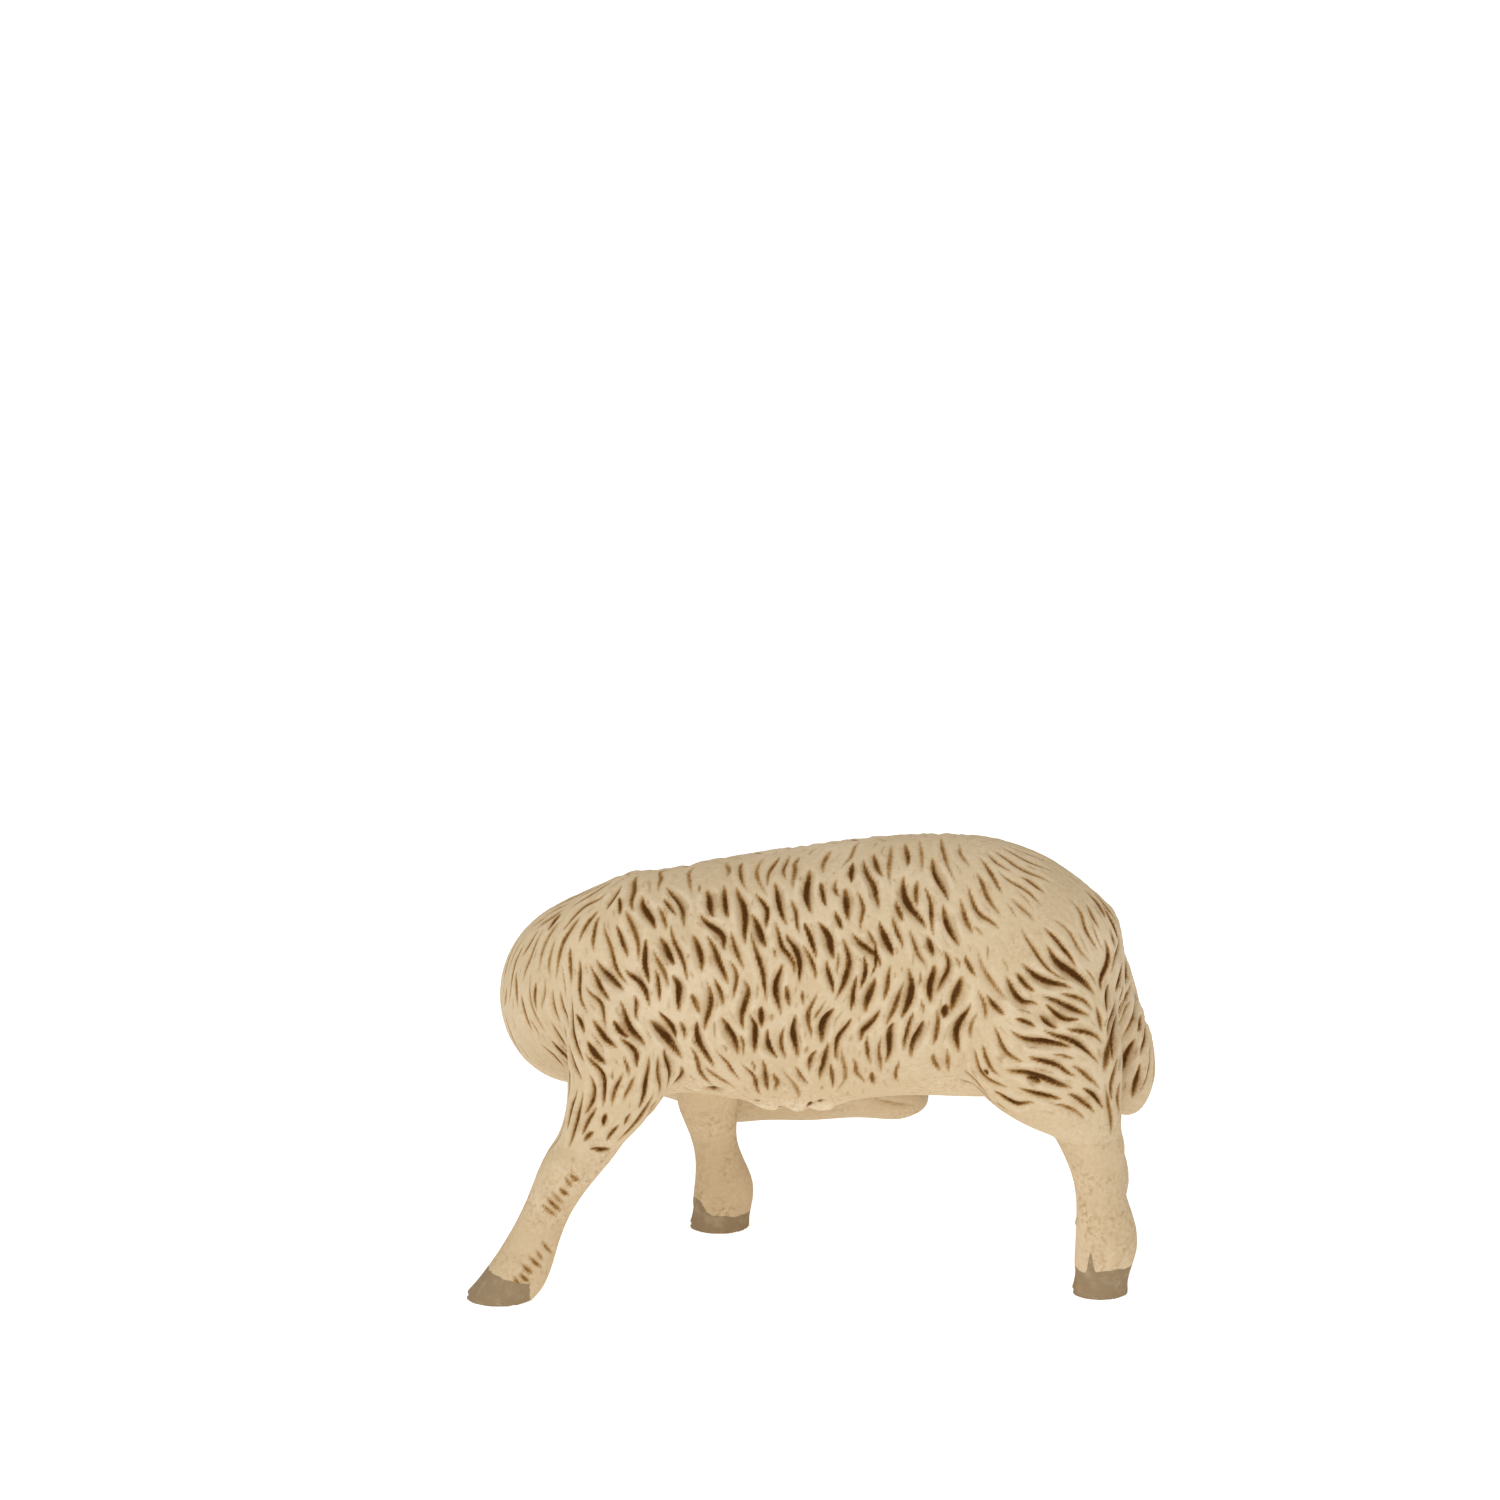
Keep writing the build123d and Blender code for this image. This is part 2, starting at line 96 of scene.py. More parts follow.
def smoothstep(low: float, high: float, values: np.ndarray) -> np.ndarray:
    """Smooth ramp from 0 to 1.

    Args:
        low: value where the ramp starts.
        high: value where the ramp ends; below low, the ramp falls.
        values: numbers to ramp.

    Returns:
        The ramp's height at each number.
    """
    t = np.clip((values - low) / (high - low), 0.0, 1.0)
    return t * t * (3.0 - 2.0 * t)


def unit(vectors: np.ndarray) -> np.ndarray:
    """Vectors of length 1.

    Args:
        vectors: rows of three numbers.

    Returns:
        The rows divided by their lengths.
    """
    return vectors / np.maximum(np.linalg.norm(vectors, axis=-1, keepdims=True), 1e-9)


def middle(node: str) -> np.ndarray:
    """Middle of a CAD node's box.

    Args:
        node: the node's name.

    Returns:
        Place in millimetres.
    """
    low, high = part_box(node)
    return (np.array(low) + np.array(high)) / 2 / MM


def surface(node: str) -> BVHTree:
    """Search tree of a CAD node's surface.

    Args:
        node: the node's name.

    Returns:
        The tree, in millimetres.
    """
    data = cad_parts[node].data
    return BVHTree.FromPolygons([v.co / MM for v in data.vertices], [p.vertices for p in data.polygons])


def close_to(node: str, points: np.ndarray, reach: float) -> np.ndarray:
    """Points that lie in a CAD node's box or near it.

    Args:
        node: the node's name.
        points: places to choose from, millimetres.
        reach: greatest distance from the box along each axis, millimetres.

    Returns:
        Numbers of the chosen points.
    """
    low, high = (np.array(corner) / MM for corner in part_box(node))
    return np.nonzero(((points > low - reach) & (points < high + reach)).all(axis=1))[0]


def linear(red: int, green: int, blue: int) -> Colour:
    """Scene-linear colour of a screen colour.

    Args:
        red: screen red from 0 to 255.
        green: screen green from 0 to 255.
        blue: screen blue from 0 to 255.

    Returns:
        Linear red, green, blue and an alpha of 1.
    """
    parts = [v / 255 for v in (red, green, blue)]
    flat = [p / 12.92 if p <= 0.04045 else ((p + 0.055) / 1.055) ** 2.4 for p in parts]
    return (flat[0], flat[1], flat[2], 1.0)


@dataclass(frozen=True)
class FlowPoint:
    """How the wool lies at one place of the flank, read off the side view.

    Attributes:
        x: place along the body, millimetres.
        z: height above the floor, millimetres.
        lean: degrees from upright; positive where the lower end lies nearer the rump.
        strength: how deeply the wool is carved there, from 0 to 1.
    """

    x: float
    z: float
    lean: float
    strength: float


FLOW = (
    FlowPoint(-23.0, 38.0, -14, 0.55),
    FlowPoint(-27.5, 32.0, -4, 0.50),
    FlowPoint(-28.0, 25.0, 18, 0.45),
    FlowPoint(-19.5, 35.0, 20, 0.80),
    FlowPoint(-21.0, 25.5, 38, 1.00),
    FlowPoint(-16.0, 31.0, 20, 1.00),
    FlowPoint(-18.0, 23.0, -8, 0.90),
    FlowPoint(-20.0, 19.0, -26, 0.80),
    FlowPoint(-15.0, 41.0, 10, 0.45),
    FlowPoint(-10.0, 37.0, 26, 1.00),
    FlowPoint(-2.0, 39.0, 32, 0.95),
    FlowPoint(7.0, 39.0, 10, 0.90),
    FlowPoint(-5.0, 42.0, 6, 0.60),
    FlowPoint(4.0, 43.0, 2, 0.65),
    FlowPoint(-11.5, 31.0, 6, 1.00),
    FlowPoint(-4.0, 32.5, -5, 1.00),
    FlowPoint(2.5, 31.0, -28, 1.00),
    FlowPoint(7.5, 32.0, -15, 1.00),
    FlowPoint(12.5, 32.5, -8, 1.00),
    FlowPoint(-9.0, 25.0, 24, 1.00),
    FlowPoint(-3.5, 24.0, 10, 0.85),
    FlowPoint(4.7, 24.0, 14, 0.80),
    FlowPoint(10.0, 26.5, 8, 0.25),
    FlowPoint(10.0, 21.0, 20, 0.10),
    FlowPoint(16.0, 27.5, 10, 0.20),
    FlowPoint(14.0, 40.5, 18, 0.80),
    FlowPoint(18.5, 42.0, 24, 0.60),
    FlowPoint(17.0, 36.0, 26, 0.35),
    FlowPoint(21.0, 36.0, 28, 0.15),
    FlowPoint(24.0, 38.5, 30, 0.15),
    FlowPoint(21.0, 30.5, 54, 0.90),
    FlowPoint(24.5, 32.0, 64, 0.85),
    FlowPoint(25.3, 27.0, 70, 0.90),
    FlowPoint(22.5, 23.0, 74, 0.80),
    FlowPoint(28.0, 36.5, -8, 0.55),
    FlowPoint(30.0, 32.0, -54, 0.90),
    FlowPoint(30.5, 28.5, -48, 1.00),
    FlowPoint(31.5, 25.0, -38, 1.00),
    FlowPoint(33.0, 21.0, -18, 1.00),
)


@dataclass(frozen=True)
class Mark:
    """One cut of the side that the photograph shows, placed one by one.

    Attributes:
        x: place along the body, millimetres.
        z: height above the floor, millimetres.
        lean: degrees from upright, as in FlowPoint.
        length: millimetres.
        width: half width, millimetres.
        depth: millimetres.
        stain: how dark the wash in it is, from 0 to 1.
    """

    x: float
    z: float
    lean: float
    length: float
    width: float
    depth: float
    stain: float


DEEP_CUTS = (
    Mark(11.6, 33.0, -15, 4.0, 0.50, 0.50, 1.0),
    Mark(14.0, 32.0, -22, 4.2, 0.55, 0.45, 0.9),
    Mark(13.0, 30.2, -10, 2.2, 0.50, 0.45, 1.0),
    Mark(-21.4, 25.7, 42, 3.6, 0.40, 0.40, 1.0),
    Mark(-18.8, 28.2, 36, 3.0, 0.32, 0.35, 1.0),
    Mark(-16.4, 34.8, 3, 5.4, 0.34, 0.35, 1.0),
    Mark(-18.6, 36.3, 22, 4.0, 0.28, 0.25, 0.8),
    Mark(-20.5, 19.0, -20, 2.2, 0.30, 0.25, 0.9),
    Mark(-18.2, 19.1, -24, 2.2, 0.24, 0.20, 0.7),
    Mark(29.8, 27.0, -36, 6.0, 0.50, 0.45, 1.0),
    Mark(31.4, 22.8, -30, 4.4, 0.42, 0.40, 0.9),
    Mark(32.5, 20.0, -16, 4.2, 0.38, 0.35, 1.0),
    Mark(29.1, 30.4, -36, 3.6, 0.34, 0.30, 0.9),
    Mark(27.7, 37.7, -10, 3.6, 0.42, 0.18, 0.5),
    Mark(3.9, 42.6, 0, 3.8, 0.32, 0.35, 1.0),
    Mark(29.2, 25.6, -30, 5.0, 0.7, 0.2, 0.7),
    Mark(-20.9, 15.9, 78, 2.8, 0.24, 0.34, 0.9),
    Mark(-22.0, 17.2, -50, 2.0, 0.36, 0.3, 0.7),
)
PITS = (
    Mark(-9.7, 20.6, 0, 1.9, 0.62, 0.60, 1.0),
    Mark(0.9, 19.0, 10, 1.0, 0.40, 0.40, 1.0),
    Mark(17.0, 23.7, 45, 0.8, 0.28, 0.25, 0.9),
    Mark(6.2, 35.4, -8, 4.6, 0.15, 0.12, 1.0),
    Mark(-8.2, 15.6, 80, 1.0, 0.22, 0.12, 0.6),
)


class Skin:
    """The figure's whole outer surface as one fine mesh, in millimetres."""

    def __init__(self, points: np.ndarray, quads: np.ndarray) -> None:
        """Keeps the largest connected part of a mesh.

        Args:
            points: vertex places.
            quads: four vertex numbers for each face.
        """
        label = self._islands(len(points), quads)
        keep = label == np.bincount(label).argmax()
        number = np.cumsum(keep) - 1
        self.points = points[keep]
        self.quads = number[quads[keep[quads[:, 0]]]]
        edges = np.concatenate([self.quads[:, [k, (k + 1) % 4]] for k in range(4)])
        edges = np.unique(np.sort(edges, axis=1), axis=0)
        self.tails = np.concatenate([edges[:, 0], edges[:, 1]])
        self.heads = np.concatenate([edges[:, 1], edges[:, 0]])
        self.degree = np.bincount(self.tails, minlength=len(self.points)).astype(float)

    @staticmethod
    def _islands(count: int, quads: np.ndarray) -> np.ndarray:
        """Lowest vertex number of the connected part that each vertex is in.

        Args:
            count: number of vertices.
            quads: four vertex numbers for each face.

        Returns:
            One label for each vertex.
        """
        label = np.arange(count)
        while True:
            lowest = label[quads].min(axis=1)
            new = label.copy()
            for k in range(4):
                np.minimum.at(new, quads[:, k], lowest)
            new = new[new]
            if np.array_equal(new, label):
                return label
            label = new

    @classmethod
    def from_castings(cls, names: list[str], voxel: float) -> "Skin":
        """Closes the seams between the castings.

        Args:
            names: CAD nodes to join.
            voxel: size of the new mesh's cells, millimetres.

        Returns:
            The joined surface.
        """
        joined = bmesh.new()
        for name in names:
            joined.from_mesh(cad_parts[name].data)
        bmesh.ops.scale(joined, vec=(1 / MM,) * 3, verts=joined.verts)
        source = bpy.data.meshes.new("skin_source")
        joined.to_mesh(source)
        joined.free()
        holder = bpy.data.objects.new("skin_source", source)
        bpy.context.scene.collection.objects.link(holder)
        remesh = holder.modifiers.new("remesh", "REMESH")
        remesh.mode = "VOXEL"
        remesh.voxel_size = voxel
        remesh.adaptivity = 0.0
        done = holder.evaluated_get(bpy.context.evaluated_depsgraph_get())
        mesh = bpy.data.meshes.new_from_object(done)
        points = np.empty(len(mesh.vertices) * 3, np.float32)
        mesh.vertices.foreach_get("co", points)
        corners = np.empty(len(mesh.loops), np.int32)
        mesh.loops.foreach_get("vertex_index", corners)
        bpy.data.objects.remove(holder)
        bpy.data.meshes.remove(source)
        bpy.data.meshes.remove(mesh)
        return cls(points.reshape(-1, 3).astype(float), corners.reshape(-1, 4))

    def mean(self, values: np.ndarray) -> np.ndarray:
        """Mean of each vertex's neighbours.

        Args:
            values: one number or one row for each vertex.

        Returns:
            The neighbours' mean, in the same form.
        """
        count = len(self.points)
        if values.ndim == 1:
            return np.bincount(self.tails, values[self.heads], count) / self.degree
        columns = [np.bincount(self.tails, values[self.heads, k], count) for k in range(values.shape[1])]
        return np.column_stack(columns) / self.degree[:, None]

    def spread(self, values: np.ndarray, rounds: int) -> np.ndarray:
        """Values blurred along the surface.

        Args:
            values: one number or one row for each vertex.
            rounds: how often the neighbours are averaged.

        Returns:
            The blurred values.
        """
        for _ in range(rounds):
            values = 0.5 * values + 0.5 * self.mean(values)
        return values

    def ease(self, rounds: int, weight: np.ndarray) -> None:
        """Rounds off the creases.

        Args:
            rounds: how often the vertices move towards their neighbours.
            weight: how far each vertex follows, from 0 to 1.
        """
        for _ in range(rounds):
            self.points += 0.5 * weight[:, None] * (self.mean(self.points) - self.points)

    def normals(self) -> np.ndarray:
        """Outward direction at each vertex.

        Returns:
            Rows of length 1.
        """
        a, b, c, d = (self.points[self.quads[:, k]] for k in range(4))
        face = np.cross(c - a, d - b)
        total = np.zeros_like(self.points)
        for axis in range(3):
            for k in range(4):
                total[:, axis] += np.bincount(self.quads[:, k], face[:, axis], len(self.points))
        return unit(total)

    def owners(self, names: list[str]) -> np.ndarray:
        """Which casting each vertex belongs to.

        Args:
            names: CAD nodes in question.

        Returns:
            Number of the nearest casting in the list for each vertex.
        """
        best = np.full(len(self.points), 1e9)
        owner = np.zeros(len(self.points), int)
        for number, name in enumerate(names):
            tree = surface(name)
            for index in close_to(name, self.points, 1.5):
                distance = tree.find_nearest(Vector(self.points[index]))[3]
                if distance is not None and distance < best[index]:
                    best[index] = distance
                    owner[index] = number
        return owner


@dataclass(frozen=True)
class GrooveForm:
    """Cross-section of all grooves, in shares of a groove's half width, depth and stain.

    Attributes:
        narrow: share of the depth that is a narrow cut; the rest is a broad dip.
        broad: half width of the broad dip.
        lip: height of the lips.
        lip_place: distance of the lips from the middle.
        haze: how much of the wash stays beside the groove, also as painted shade on its slopes.
        haze_reach: half width of that haze.
        reach: distance from the middle where the groove ends.
    """

    narrow: float = 0.75
    broad: float = 2.4
    lip: float = 0.3
    lip_place: float = 2.6
    haze: float = 0.4
    haze_reach: float = 2.1
    reach: float = 4.2


class Carver:
    """Cuts grooves and raises lumps on the skin, and stains what it cuts."""

    form = GrooveForm()

    def __init__(self, skin: Skin, spine: float) -> None:
        """Prepares the directions and the search tree.

        Args:
            skin: surface to carve.
            spine: the body's middle plane across it, millimetres.
        """
        self.skin = skin
        self.normal = skin.normals()
        side = np.where(skin.points[:, 1] < spine, -1.0, 1.0)
        fall = np.column_stack([np.zeros(len(side)), 0.12 * side, -np.ones(len(side))])
        self.down = unit(fall - self.normal * (fall * self.normal).sum(axis=1, keepdims=True))
        mirror = np.where(self.normal[:, 1] < 0, 1.0, -1.0)[:, None]
        self.back = np.cross(self.normal, self.down) * mirror
        self.lean = np.zeros(len(side))
        self.tree = kdtree.KDTree(len(skin.points))
        for index, point in enumerate(skin.points):
            self.tree.insert(point, index)
        self.tree.balance()
        self.cut = np.zeros(len(side))
        self.lip = np.zeros(len(side))
        self.lift = np.zeros(len(side))
        self.wash = np.zeros(len(side))
        self.clear = np.ones(len(side))
        self.taken: dict[tuple[int, int, int], list[np.ndarray]] = {}

    def claim(self, line: np.ndarray) -> None:
        """Notes where a line runs, so that later ones can keep clear of it.

        Args:
            line: points of the line.
        """
        for point in line:
            self.taken.setdefault(tuple(np.floor(point).astype(int)), []).append(point)

    def free(self, point: np.ndarray, clear: float) -> bool:
        """Whether no earlier line runs close to a place.

        Args:
            point: the place, millimetres.
            clear: distance that must be free, up to 2 millimetres.

        Returns:
            True if the place is free.
        """
        low = np.floor(point - clear).astype(int)
        high = np.floor(point + clear).astype(int)
        for i in range(low[0], high[0] + 1):
            for j in range(low[1], high[1] + 1):
                for k in range(low[2], high[2] + 1):
                    for other in self.taken.get((i, j, k), ()):
                        gap = point - other
                        if gap @ gap < clear * clear:
                            return False
        return True

    def nearest(self, place: np.ndarray) -> int:
        """Vertex closest to a place.

        Args:
            place: millimetres.

        Returns:
            Vertex number.
        """
        return self.tree.find(Vector(place))[1]

    def trace(
        self,
        start: int,
        length: float,
        bow: float,
        wave: float,
        turn: float = 0.0,
        clear: float = 0.0,
        above: float = 0.5,
    ) -> np.ndarray:
        """Line that follows the wool through a vertex.

        Args:
            start: vertex on the line.
            length: length of the line, millimetres.
            bow: how far both ends bend to the same side, radians.
            wave: how far the ends bend to opposite sides, radians.
            turn: how far the whole line is turned from the wool, radians.
            clear: distance from earlier lines at which the line ends, millimetres.
            above: share of the line that lies above the vertex.

        Returns:
            Points along the line.
        """
        halves = []
        for sign, part in ((-1, above), (1, 1.0 - above)):
            count = max(1, int(length * part / LINE_STEP))
            point = self.skin.points[start].copy()
            index = start
            half = []
            for number in range(count):
                bend = (bow * sign + wave) * math.sin(math.pi * (number + 1) / count)
                angle = self.lean[index] + turn + bend
                heading = math.cos(angle) * self.down[index] + math.sin(angle) * self.back[index]
                point = point + heading * (sign * LINE_STEP)
                index = self.tree.find(point)[1]
                off = np.dot(point - self.skin.points[index], self.normal[index])
                point = point - self.normal[index] * off
                if clear and not self.free(point, clear):
                    break
                half.append(point.copy())
            halves.append(half)
        return np.array(halves[0][::-1] + [self.skin.points[start]] + halves[1])

    def near(self, line: np.ndarray, reach: float) -> np.ndarray:
        """Vertices close to a line.

        Args:
            line: points of the line.
            reach: greatest distance, millimetres.

        Returns:
            Vertex numbers.
        """
        found: set[int] = set()
        for point in line[::2]:
            found.update(hit[1] for hit in self.tree.find_range(point, reach + LINE_STEP))
        return np.fromiter(found, int, len(found))

    def measure(self, index: np.ndarray, line: np.ndarray) -> tuple[np.ndarray, np.ndarray]:
        """Distance of some vertices from a line and share of the way along it.

        Args:
            index: vertices to measure.
            line: points of the line, evenly spaced.

        Returns:
            Distances, negative on the right of the line, and shares from 0 to 1.
        """
        points = self.skin.points[index]
        start = line[:-1]
        run = line[1:] - start
        rel = points[:, None, :] - start[None]
        share = np.clip((rel * run).sum(-1) / np.maximum((run * run).sum(-1), 1e-9), 0, 1)
        away = rel - share[..., None] * run
        gap = np.linalg.norm(away, axis=-1)
        best = gap.argmin(axis=1)
        rows = np.arange(len(points))
        left = np.cross(self.normal[index], run[best])
        sign = np.where((away[rows, best] * left).sum(axis=1) < 0, -1.0, 1.0)
        return gap[rows, best] * sign, (best + share[rows, best]) / len(run)

    def groove(self, line: np.ndarray, width: float, depth: float, skew: float, stain: float) -> None:
        """Cuts one groove with soft lips; its wash settles on one side.

        Args:
            line: points of the line.
            width: half width of the groove at its widest, millimetres.
            depth: depth at its deepest, millimetres.
            skew: above 1 the widest place lies towards the lower end and the wash on the left.
            stain: how dark the wash in it is, from 0 to 1.
        """
        form = self.form
        index = self.near(line, form.reach * width)
        if not len(index) or len(line) < 3:
            return
        self.claim(line)
        across, share = self.measure(index, line)
        gap = np.abs(across)
        taper = np.sin(np.pi * np.clip(share, 0.002, 0.998) ** skew)
        half = width * (0.5 + 0.5 * taper)
        deep = depth * taper**0.6
        narrow = np.exp(-((gap / half) ** 2))
        broad = np.exp(-((gap / (form.broad * half)) ** 2))
        cut = deep * (form.narrow * narrow + (1.0 - form.narrow) * broad)
        lip = form.lip * deep * np.exp(-(((gap - form.lip_place * half) / half) ** 2))
        self.cut[index] = np.maximum(self.cut[index], cut)
        self.lip[index] = np.maximum(self.lip[index], lip)
        settled = across / half * (1.0 if skew > 1.0 else -1.0)
        edge = np.exp(-((gap / half) ** np.where(settled > 0, 4.0, 2.0)))
        tone = stain * taper**0.5 * edge * (0.5 + 0.5 * smoothstep(-0.9, 0.35, settled))
        self.wash[index] = np.maximum(self.wash[index], tone)
        # haze: thin wash beside the groove, which also paints the shade of its slopes
        haze = form.haze * stain * taper**0.7 * np.exp(-((gap / (form.haze_reach * half)) ** 2))
        self.clear[index] *= 1.0 - haze

    def _dome(self, place: np.ndarray, radius: float) -> tuple[np.ndarray, np.ndarray]:
        """Vertices round a place, with a bell curve over them.

        Args:
            place: middle of the bell, millimetres.
            radius: millimetres.

        Returns:
            Vertex numbers, and the bell's height there, up to 1.
        """
        hits = self.tree.find_range(Vector(place), 2.4 * radius)
        index = np.array([hit[1] for hit in hits], int)
        gap = np.array([hit[2] for hit in hits])
        return index, np.exp(-((gap / radius) ** 2))

    def lump(self, place: np.ndarray, radius: float, height: float) -> None:
        """Raises one rounded lump.

        Args:
            place: middle of the lump, millimetres.
            radius: millimetres.
            height: millimetres.
        """
        index, bell = self._dome(place, radius)
        self.lift[index] = np.maximum(self.lift[index], height * bell)

    def press(self, place: np.ndarray, radius: float, depth: float) -> None:
        """Flattens the skin round a place.

        Args:
            place: middle of the pressed spot, millimetres.
            radius: millimetres.
            depth: millimetres.
        """
        index, bell = self._dome(place, radius)
        self.lift[index] -= depth * bell

    def stain(self) -> np.ndarray:
        """How much wash each vertex holds: dark in the grooves, with a thin haze round them that is partly
        painted shade on their slopes.

        Returns:
            Shares from 0 to 1.
        """
        return np.maximum(self.wash, 0.7 * (1.0 - self.clear))

    def height(self) -> np.ndarray:
        """How far each vertex moves outwards.

        Returns:
            Millimetres, negative in the grooves.
        """
        return self.lift + self.lip * np.exp(-4.0 * self.cut) - self.cut

    def ridge_rub_and_highlight(self) -> np.ndarray:
        """How far each vertex stands out, so that its wash is rubbed off and it gets a painted highlight.

        Returns:
            Shares from 0 to 1.
        """
        return np.clip(self.lip * np.exp(-6.0 * self.cut) / 0.14 + self.lift / 0.4, 0.0, 1.0)


@dataclass(frozen=True)
class Stroke:
    """One stroke of the solids' carved wool.

    Attributes:
        start: place inside the casting, millimetres.
        out: direction from there through the surface.
        lean: degrees from the way down; above 0 the lower end lies nearer the rump.
    """

    start: np.ndarray
    out: np.ndarray
    lean: float


@dataclass(frozen=True)
class WoolPlan:
    """Where the solids have their strokes, from the same sizes as in the part's source.

    Attributes:
        pitch: between neighbouring strokes of a row, millimetres.
        stray: how far a stroke strays along the body, millimetres.
        scatter: how far it strays round the barrel, degrees.
        first: place of the flanks' first strokes ahead of the rump, millimetres.
        last: place of the last ones on the back.
        slant: how much further ahead the rows end on the left.
        chest_lean: lean of all rows at the chest, degrees.
        rows: degrees from the middle of the back, and lean, of each row on the flanks.
        haunch_rows: the same for the haunches.
        haunch_first: first place on the haunches, millimetres.
        haunch_last: last place on the haunches.
        axis_height: height of the line that the rows are spread round.
        rump_behind_pin: how far the rump lies behind the tail pin's middle.
    """

    pitch: float = 3.2
    stray: float = 1.0
    scatter: float = 5.0
    first: float = 17.0
    last: float = 45.0
    slant: float = 5.0
    chest_lean: float = 26.0
    rows: Pairs = ((14.0, 5.0), (36.0, 12.0), (58.0, 24.0), (80.0, -14.0), (102.0, -20.0))
    haunch_rows: Pairs = ((78.0, 56.0), (92.0, 62.0), (106.0, 68.0), (121.0, 74.0))
    haunch_first: float = 5.4
    haunch_last: float = 10.0
    axis_height: float = 30.75
    rump_behind_pin: float = 3.08

    def _row(self, first: float, last: float, number: int, turned: float) -> list[tuple[float, float]]:
        """Uneven places of a row's strokes.

        Args:
            first: first place ahead of the rump, millimetres.
            last: last place.
            number: the row's number; every other row is staggered.
            turned: degrees round the barrel.

        Returns:
            Place ahead of the rump and degrees round the barrel of each stroke.
        """
        count = int((last - first) / self.pitch) + 1
        places = []
        for index in range(count):
            ahead = first + self.pitch * (index + number % 2 / 2)
            chance = GOLDEN * (index + number * count) % 1 - 0.5
            places.append((ahead + self.stray * chance, turned + self.scatter * (chance * 3 % 1 - 0.5)))
        return places

    def strokes(self) -> list[Stroke]:
        """All strokes on the torso.

        Returns:
            The strokes of both flanks and both haunches.
        """
        pin = middle("tail_pin")
        made = []
        for side in (-1, 1):
            planned = []
            for number, (row, lean) in enumerate(self.rows):
                last = self.last - side * self.slant * math.sin(math.radians(row))
                for ahead, turned in self._row(self.first, last, number, row):
                    share = (max(0.0, ahead - self.first) / (self.last - self.first)) ** 2
                    planned.append((ahead, turned, lean + (self.chest_lean - lean) * share))
            for number, (row, lean) in enumerate(self.haunch_rows):
                for ahead, turned in self._row(self.haunch_first, self.haunch_last, number, row):
                    planned.append((ahead, turned, lean))
            for ahead, turned, lean in planned:
                angle = math.radians(turned)
                start = np.array([pin[0] + self.rump_behind_pin - ahead, pin[1], self.axis_height])
                out = np.array([0.0, side * math.sin(angle), math.cos(angle)])
                made.append(Stroke(start, out, lean))
        return made


@dataclass(frozen=True)
class Comb:
    """Grooves of one kind that fill the wool, each ending short of the others.

    Attributes:
        apart: distance from earlier grooves that a new one's middle needs, millimetres.
        clear: distance from earlier grooves at which it ends.
        length: shortest and longest groove.
        width: least and greatest half width.
        depth: least and greatest depth.
        stain: least and greatest darkness of the wash.
        least: weakest carving that still gets such a groove.
    """

    apart: float
    clear: float
    length: tuple[float, float]
    width: tuple[float, float]
    depth: tuple[float, float]
    stain: tuple[float, float]
    least: float


COMBS = {
    "locks": Comb(1.1, 0.57, (3.8, 8.8), (0.26, 0.38), (0.24, 0.40), (0.6, 1.0), 0.5),
    "thin locks": Comb(0.9, 0.5, (2.0, 5.0), (0.17, 0.26), (0.10, 0.22), (0.2, 0.65), 0.2),
    "strands": Comb(0.55, 0.4, (1.2, 3.0), (0.14, 0.2), (0.04, 0.10), (0.08, 0.36), 0.08),
}


@dataclass(frozen=True)
class Ripple:
    """Slow wave in the wool's lean.

    Attributes:
        swing: greatest change of the lean, degrees.
        up: radians per millimetre of height.
        along: radians per millimetre towards the rump.
        start: radians at the origin.
    """

    swing: float
    up: float
    along: float
    start: float


RIPPLES = (
    Ripple(7.0, 0.95, 0.9, 0.0),
    Ripple(8.0, 1.15, -0.75, 1.0),
)


@dataclass(frozen=True)
class Hems:
    """Heights where the wool starts above each bare leg and where it is full, millimetres.

    Attributes:
        hind: both hind legs.
        fore_left: the left foreleg.
        fore_right: the right foreleg.
        haunch_from: the hind hem lies behind this place along the body.
        chest_to: the left hem lies ahead of this place.
        right_out: the right hem lies further out from the spine than this.
    """

    hind: tuple[float, float] = (19.2, 21.4)
    fore_left: tuple[float, float] = (17.0, 18.2)
    fore_right: tuple[float, float] = (18.5, 21.0)
    haunch_from: float = 12.0
    chest_to: float = -12.0
    right_out: float = 3.0

    def wool(self, x: np.ndarray, out: np.ndarray, z: np.ndarray) -> np.ndarray:
        """How much wool there is.

        Args:
            x: places along the body.
            out: places out from the spine.
            z: heights.

        Returns:
            Shares from 0 on the bare skin to 1 in the wool.
        """
        hind = np.where(x > self.haunch_from, smoothstep(*self.hind, z), 1.0)
        left = np.where((x < self.chest_to) & (out < 0), smoothstep(*self.fore_left, z), 1.0)
        right = np.where((x < 0.0) & (out > self.right_out), smoothstep(*self.fore_right, z), 1.0)
        return hind * left * right


